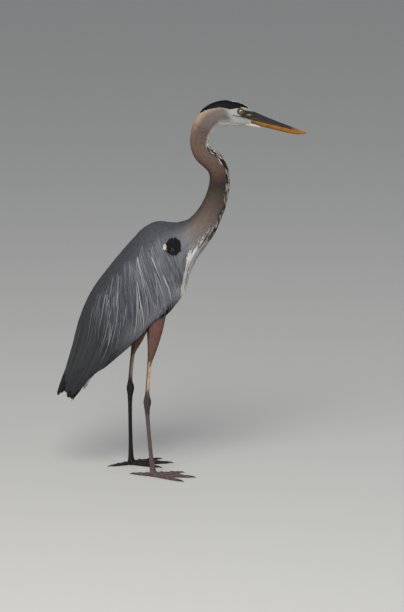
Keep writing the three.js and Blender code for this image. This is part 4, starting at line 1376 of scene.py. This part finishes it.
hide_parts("breast_plumes")

# ------------------------------------------------------------------ thigh feathers
# Short chestnut feathers clothe the thighs and thin out over the top of the bare shanks. High on
# the back of each thigh they are black.
rng = np.random.default_rng(20)
batches = []


def thigh_tint(s, phi, points):
    """Chestnut, black high on the back."""
    dark = fade(0.9, 0.3, round_from_back(phi)) * fade(0.085, 0.03, s)
    return mix(np.broadcast_to(CHESTNUT, points.shape), srgb(38, 32, 33), dark)


for form in thighs.values():
    end = form["at"][-1] - 15 * MM
    s, phi = rows_of_roots(form, (0.0, end), 3.0 * MM, 2.2 * MM, rng)
    s, phi = thinned(s, phi, end - 18 * MM, end, 0.75, rng)
    batches.append(lay(form, s, phi, sized(s, [0, end], [15, 8]), sized(s, [0, end], [2.8, 1.8]), rng,
                       SMALL_VANE, sunk=1.2 * MM, lift=0.5 * MM, twist=0.14, tint=thigh_tint, mottle=0.16))
thigh_vane = feather_material("thigh_vane", 20, 1.15, roughness=0.7)
thigh_feathers = make_piece("thigh_feathers", thigh_vane, batches)
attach(thigh_feathers, "root")

# ------------------------------------------------------------------ bare shanks, tarsi and toes
# The legs are bare below the thigh feathers: hard skin with fine net-like scales, pale tan above
# the hock and dark below it. The far leg is the darker one. The shanks are a piece of their own.
LEG_LINES = {  # down the middle of each leg: x, y away from the midline, z, reach
    "right": [(31, 39, 325, 19), (27, 41, 303, 15), (23.5, 43, 287, 11), (20.5, 44.5, 250, 10),
              (18, 46, 212, 11), (17.2, 47, 188, 17), (17, 47.4, 171, 13), (18.2, 47.8, 148, 10),
              (21.5, 48.8, 105, 9), (26, 50.2, 55, 9), (29.5, 51.2, 24, 11), (30.6, 51.5, 13, 13)],
    "left": [(-9, 39, 321, 19), (-15, 41, 303, 15), (-18.5, 43, 290, 11), (-22.5, 44.5, 257, 10),
             (-25.2, 46, 222, 11), (-25.8, 47, 199, 17), (-26.3, 47.4, 182, 13), (-26.6, 47.8, 158, 10),
             (-26.2, 48.8, 110, 9), (-25.5, 50.2, 57, 9), (-25, 51.2, 24, 11), (-24.6, 51.5, 13, 13)],
}
ANKLES = {"right": (31, 51.5), "left": (-24.5, 51.5)}  # x, and y away from the midline
HOCK_TOP = {"right": 0.200, "left": 0.211}  # z where the shank meets the hock, metres
BARE_FROM = 0.291  # z where the skin starts under the thigh feathers, metres
FOOT_HEADING = 7  # degrees that the middle toe points outwards
# Each toe: degrees outwards from the middle one, length in mm, thickness.
TOES = {"middle": (0, 92, 1.0), "inner": (-29, 70, 0.95), "outer": (27, 78, 0.95), "hind": (192, 46, 0.85)}
HEEL = [(16, 6.5), (11, 8.2), (6, 8.0), (2, 6.8), (0.4, 5.5)]  # height and half depth
# Along a toe: share of its length, height, half depth, half width. Along a claw: distance and the same.
TOE_SECTIONS = [(-0.04, 6.5, 5.5, 5.5), (0.04, 6.6, 6.4, 5.8), (0.14, 4.7, 5.2, 5.0), (0.23, 4.2, 4.4, 4.6),
                (0.33, 4.4, 5.2, 5.6), (0.43, 3.6, 4.0, 4.3), (0.52, 3.4, 4.2, 4.6), (0.61, 3.0, 3.5, 3.7),
                (0.71, 3.5, 4.3, 4.6), (0.84, 2.8, 3.2, 3.4), (0.95, 2.7, 3.2, 3.2), (1.0, 2.4, 2.4, 2.4),
                (1.015, 2.2, 1.2, 1.2)]
CLAW_SECTIONS = [(-3, 2.5, 1.6, 1.5), (1.5, 3.2, 2.0, 1.7), (5, 3.4, 1.8, 1.4), (8.5, 2.9, 1.4, 1.0),
                 (12, 1.9, 0.9, 0.7), (15, 0.6, 0.3, 0.3)]
LEG_COLOURS = {  # shank in front, shank behind darkened by painted shade, hock, tarsus
    "right": [srgb(196, 168, 142), srgb(112, 92, 80), srgb(68, 62, 58), srgb(98, 84, 82)],
    "left": [srgb(150, 130, 110), srgb(44, 37, 34), srgb(34, 29, 28), srgb(26, 21, 20)],
}
CLAW_COLOUR = srgb(34, 29, 27)


def toe_form(side, degrees, stations, step, columns):
    """A form along a toe. Stations are a distance from the ankle, height, half depth, half width."""
    turn = math.radians(FOOT_HEADING + degrees)
    x, y = ANKLES[side]
    line = [in_frame(x + distance * math.cos(turn), SIDES[side] * (y + distance * math.sin(turn)),
                     height, deep, deep, wide) for distance, height, deep, wide in stations]
    return oval_form(line, step * MM, columns)


def leg_tint(side, points, phi):
    """Colours of one leg at points and angles round it."""
    shank, shank_behind_painted_shade, hock, tarsus = LEG_COLOURS[side]
    z = points[..., 2]
    top = HOCK_TOP[side]
    # The back of each shank is painted darker: painted shade on the side away from the light.
    behind = fade(1.45, 0.8, round_from_back(phi)) * np.ones_like(z)
    colour = mix(np.broadcast_to(shank, points.shape), shank_behind_painted_shade, behind)
    colour = mix(colour, hock, fade(top + 0.034, top + 0.006, z))
    return mix(colour, tarsus, fade(top - 0.030, top - 0.055, z))


def leg_net(side, form, shown=slice(None), tint=None):
    """A closed net over a part of one leg, flat where it stands on the floor, with its colours."""
    points = form["table"][shown][..., :3].copy()
    points[..., 2] = np.maximum(points[..., 2], 0.0)
    if tint is None:
        tint = leg_tint(side, points, angles_round(points.shape[1])[None])
    return closed_net(points, tint=np.broadcast_to(tint, points.shape))


leg_forms, toe_forms, shank_nets, foot_nets, claw_nets = {}, {}, [], [], []
for side in SIDES:
    nodes = [f"{part}_{side}" for part in ("thigh", "shank", "tarsus", "toes")]
    leg = trace(limb_line(side, LEG_LINES[side]), nodes, 1.0 * MM, 40, blur_along=2.2 * MM, blur_round=0.3)
    leg_forms[side] = leg
    bare_from, seam = (int(np.argmin(np.abs(leg["middle"][:, 2] - z))) for z in (BARE_FROM, HOCK_TOP[side]))
    shank_nets.append(leg_net(side, leg, slice(bare_from, seam + 1)))
    foot_nets.append(leg_net(side, leg, slice(seam, None)))
    heel = [(0, height, deep, deep * 0.9) for height, deep in HEEL]
    foot_nets.append(leg_net(side, toe_form(side, 0, heel, 1.0, 32)))
    for toe, (degrees, length, thick) in TOES.items():
        sections = [(part * length, height, deep * thick, wide * thick)
                    for part, height, deep, wide in TOE_SECTIONS]
        toe_forms[side, toe] = toe_form(side, degrees, sections, 1.0, 28)
        foot_nets.append(leg_net(side, toe_forms[side, toe]))
        sections = [(length + distance, *rest) for distance, *rest in CLAW_SECTIONS]
        claw_nets.append(leg_net(side, toe_form(side, degrees, sections, 0.7, 20), tint=CLAW_COLOUR))


def leg_pattern(add):
    """A net of small scales, worn in spots."""
    place = add("ShaderNodeTexCoord")["Object"]
    scales = add("ShaderNodeTexVoronoi", {"Vector": place, "Scale": 420.0}, feature="DISTANCE_TO_EDGE")
    net_tone = ranged(add, scales["Distance"], 0.0, 0.16, 0.62, 1.06)
    worn_tone = ranged(add, noise(add, place, 130.0, 4.0), 0.3, 0.7, 0.78, 1.22)
    return maths(add, "MULTIPLY", net_tone, worn_tone), net_tone


leg_material = tinted_material("leg_scales", 0.55, leg_pattern, 0.6, 0.4 * MM, 0.3)
LEG_PIECES = [
    ("shank_skin", shank_nets, leg_material, "shank_scales", ["shank"]),
    ("foot_skin", foot_nets, leg_material, "leg_scales", ["tarsus", "toes"]),
    ("claw_horn", claw_nets, horn_material("claw_horn", 0.38), "claws", [f"claw_{toe}" for toe in TOES]),
]
for name, nets, material, slot, nodes in LEG_PIECES:
    piece = make_piece(name, material, nets)
    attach(piece, "root")
    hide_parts(*(f"{node}_{side}" for node in nodes for side in SIDES))

# ------------------------------------------------------------------ scutes
# Broad hard plates overlap down the front of each tarsus and along the top of each toe. Each is
# a flat oval set on the skin along a line, and tilted so that its lower edge stands out.
# Spacing in metres, and the plates' sizes as shares of the limb's half width.
SCUTE_SIZES = {
    "tarsus_scutes": {"Spacing": 0.0046, "Width": 1.9, "Length": 1.6, "Thickness": 0.34, "Tilt": 0.10},
    "toe_scutes": {"Spacing": 0.0030, "Width": 1.8, "Length": 1.15, "Thickness": 0.34, "Tilt": 0.12},
}
SCUTE_TONE = 1.12  # how light a plate is beside the skin under it


def scute_tree(name, material):
    """A node tree that sets overlapping plates along a line of points that have way and out."""
    tree = bpy.data.node_groups.new(name, "GeometryNodeTree")
    tree.interface.new_socket("Geometry", in_out="INPUT", socket_type="NodeSocketGeometry")
    for label in SCUTE_SIZES["toe_scutes"]:
        tree.interface.new_socket(label, in_out="INPUT", socket_type="NodeSocketFloat")
    tree.interface.new_socket("Geometry", in_out="OUTPUT", socket_type="NodeSocketGeometry")
    add = adder(tree)
    sizes = add("NodeGroupInput")
    line = add("GeometryNodeMeshToCurve", {"Mesh": sizes["Geometry"]})[0]
    line = add("GeometryNodeResampleCurve", {"Curve": line, "Length": sizes["Spacing"]}, mode="LENGTH")[0]
    way, out = (add("GeometryNodeInputNamedAttribute", {"Name": name}, data_type="FLOAT_VECTOR")[0]
                for name in ("way", "out"))
    girth = add("GeometryNodeInputNamedAttribute", {"Name": "girth"}, data_type="FLOAT")[0]
    stands = add("FunctionNodeAlignRotationToVector", {"Vector": out}, axis="Z")[0]
    turned = add("FunctionNodeAlignRotationToVector", {"Rotation": stands, "Vector": way}, axis="Y",
                 pivot_axis="Z")[0]
    tilt = add("ShaderNodeCombineXYZ", {"X": sizes["Tilt"]})[0]
    tilt = add("FunctionNodeEulerToRotation", {"Euler": tilt})[0]
    turned = add("FunctionNodeRotateRotation", {"Rotation": turned, "Rotate By": tilt},
                 rotation_space="LOCAL")[0]
    size = add("ShaderNodeCombineXYZ", {"X": sizes["Width"], "Y": sizes["Length"],
                                        "Z": sizes["Thickness"]})[0]
    size = add("ShaderNodeVectorMath", {0: size, "Scale": girth}, operation="SCALE")[0]
    plate = add("GeometryNodeMeshUVSphere", {"Segments": 14, "Rings": 6, "Radius": 0.5})[0]
    plates = add("GeometryNodeInstanceOnPoints", {"Points": line, "Instance": plate, "Rotation": turned,
                                                  "Scale": size})[0]
    plates = add("GeometryNodeRealizeInstances", {"Geometry": plates})[0]
    plates = add("GeometryNodeSetShadeSmooth", {"Geometry": plates})[0]
    plates = add("GeometryNodeSetMaterial", {"Geometry": plates, "Material": material})[0]
    add("NodeGroupOutput", {"Geometry": plates})
    return tree


def scute_line(side, form, s_from, s_to, phi):
    """Points down the front or top of a form, a millimetre apart, with their values."""
    s = np.linspace(s_from, s_to, max(int((s_to - s_from) / MM), 4))
    points, normals, d_along, _ = on_form(form, s, np.full(len(s), phi))
    across, *_ = on_form(form, s, np.full(len(s), math.pi / 2))
    middle = np.stack([np.interp(s, form["at"], form["middle"][:, k]) for k in range(3)], -1)
    girth = np.linalg.norm(across - middle, axis=1)
    tint = leg_tint(side, points, np.full(len(s), math.pi)) * SCUTE_TONE
    return {"points": points, "way": unit(d_along), "out": normals, "girth": girth, "tint": tint}


plates_tree = scute_tree("scutes", leg_material)
plate_lines = {"tarsus_scutes": [], "toe_scutes": []}
for side, form in leg_forms.items():
    hock = float(np.interp(-HOCK_TOP[side], -form["middle"][:, 2], form["at"]))
    line = scute_line(side, form, hock + 4 * MM, form["at"][-1] - 1 * MM, math.pi)
    plate_lines["tarsus_scutes"].append(line)
for (side, toe), form in toe_forms.items():
    top = 0 if toe == "hind" else math.pi
    plate_lines["toe_scutes"].append(scute_line(side, form, 7 * MM, form["at"][-1] - 3.5 * MM, top))
for name, lines in plate_lines.items():
    mesh = bpy.data.meshes.new(name)
    starts = np.cumsum([0] + [len(line["points"]) for line in lines])
    edges = [(i, i + 1) for start, end in zip(starts, starts[1:]) for i in range(start, end - 1)]
    values = {key: np.concatenate([line[key] for line in lines]) for key in lines[0]}
    mesh.from_pydata(values["points"].tolist(), edges, [])
    set_vectors(mesh, "way", values["way"])
    set_vectors(mesh, "out", values["out"])
    mesh.attributes.new("girth", "FLOAT", "POINT").data.foreach_set("value", values["girth"])
    set_tint(mesh, values["tint"])
    piece = bpy.data.objects.new(name, mesh)
    bpy.context.scene.collection.objects.link(piece)
    modifier = piece.modifiers.new(name, "NODES")
    modifier.node_group = plates_tree
    for socket in plates_tree.interface.items_tree:
        if socket.in_out == "INPUT" and socket.name in SCUTE_SIZES[name]:
            modifier[socket.identifier] = SCUTE_SIZES[name][socket.name]
    bpy.context.view_layer.update()
    made = bpy.data.meshes.new_from_object(piece.evaluated_get(bpy.context.evaluated_depsgraph_get()))
    piece.modifiers.clear()
    piece.data = made
    made.name = name
    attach(piece, "root")
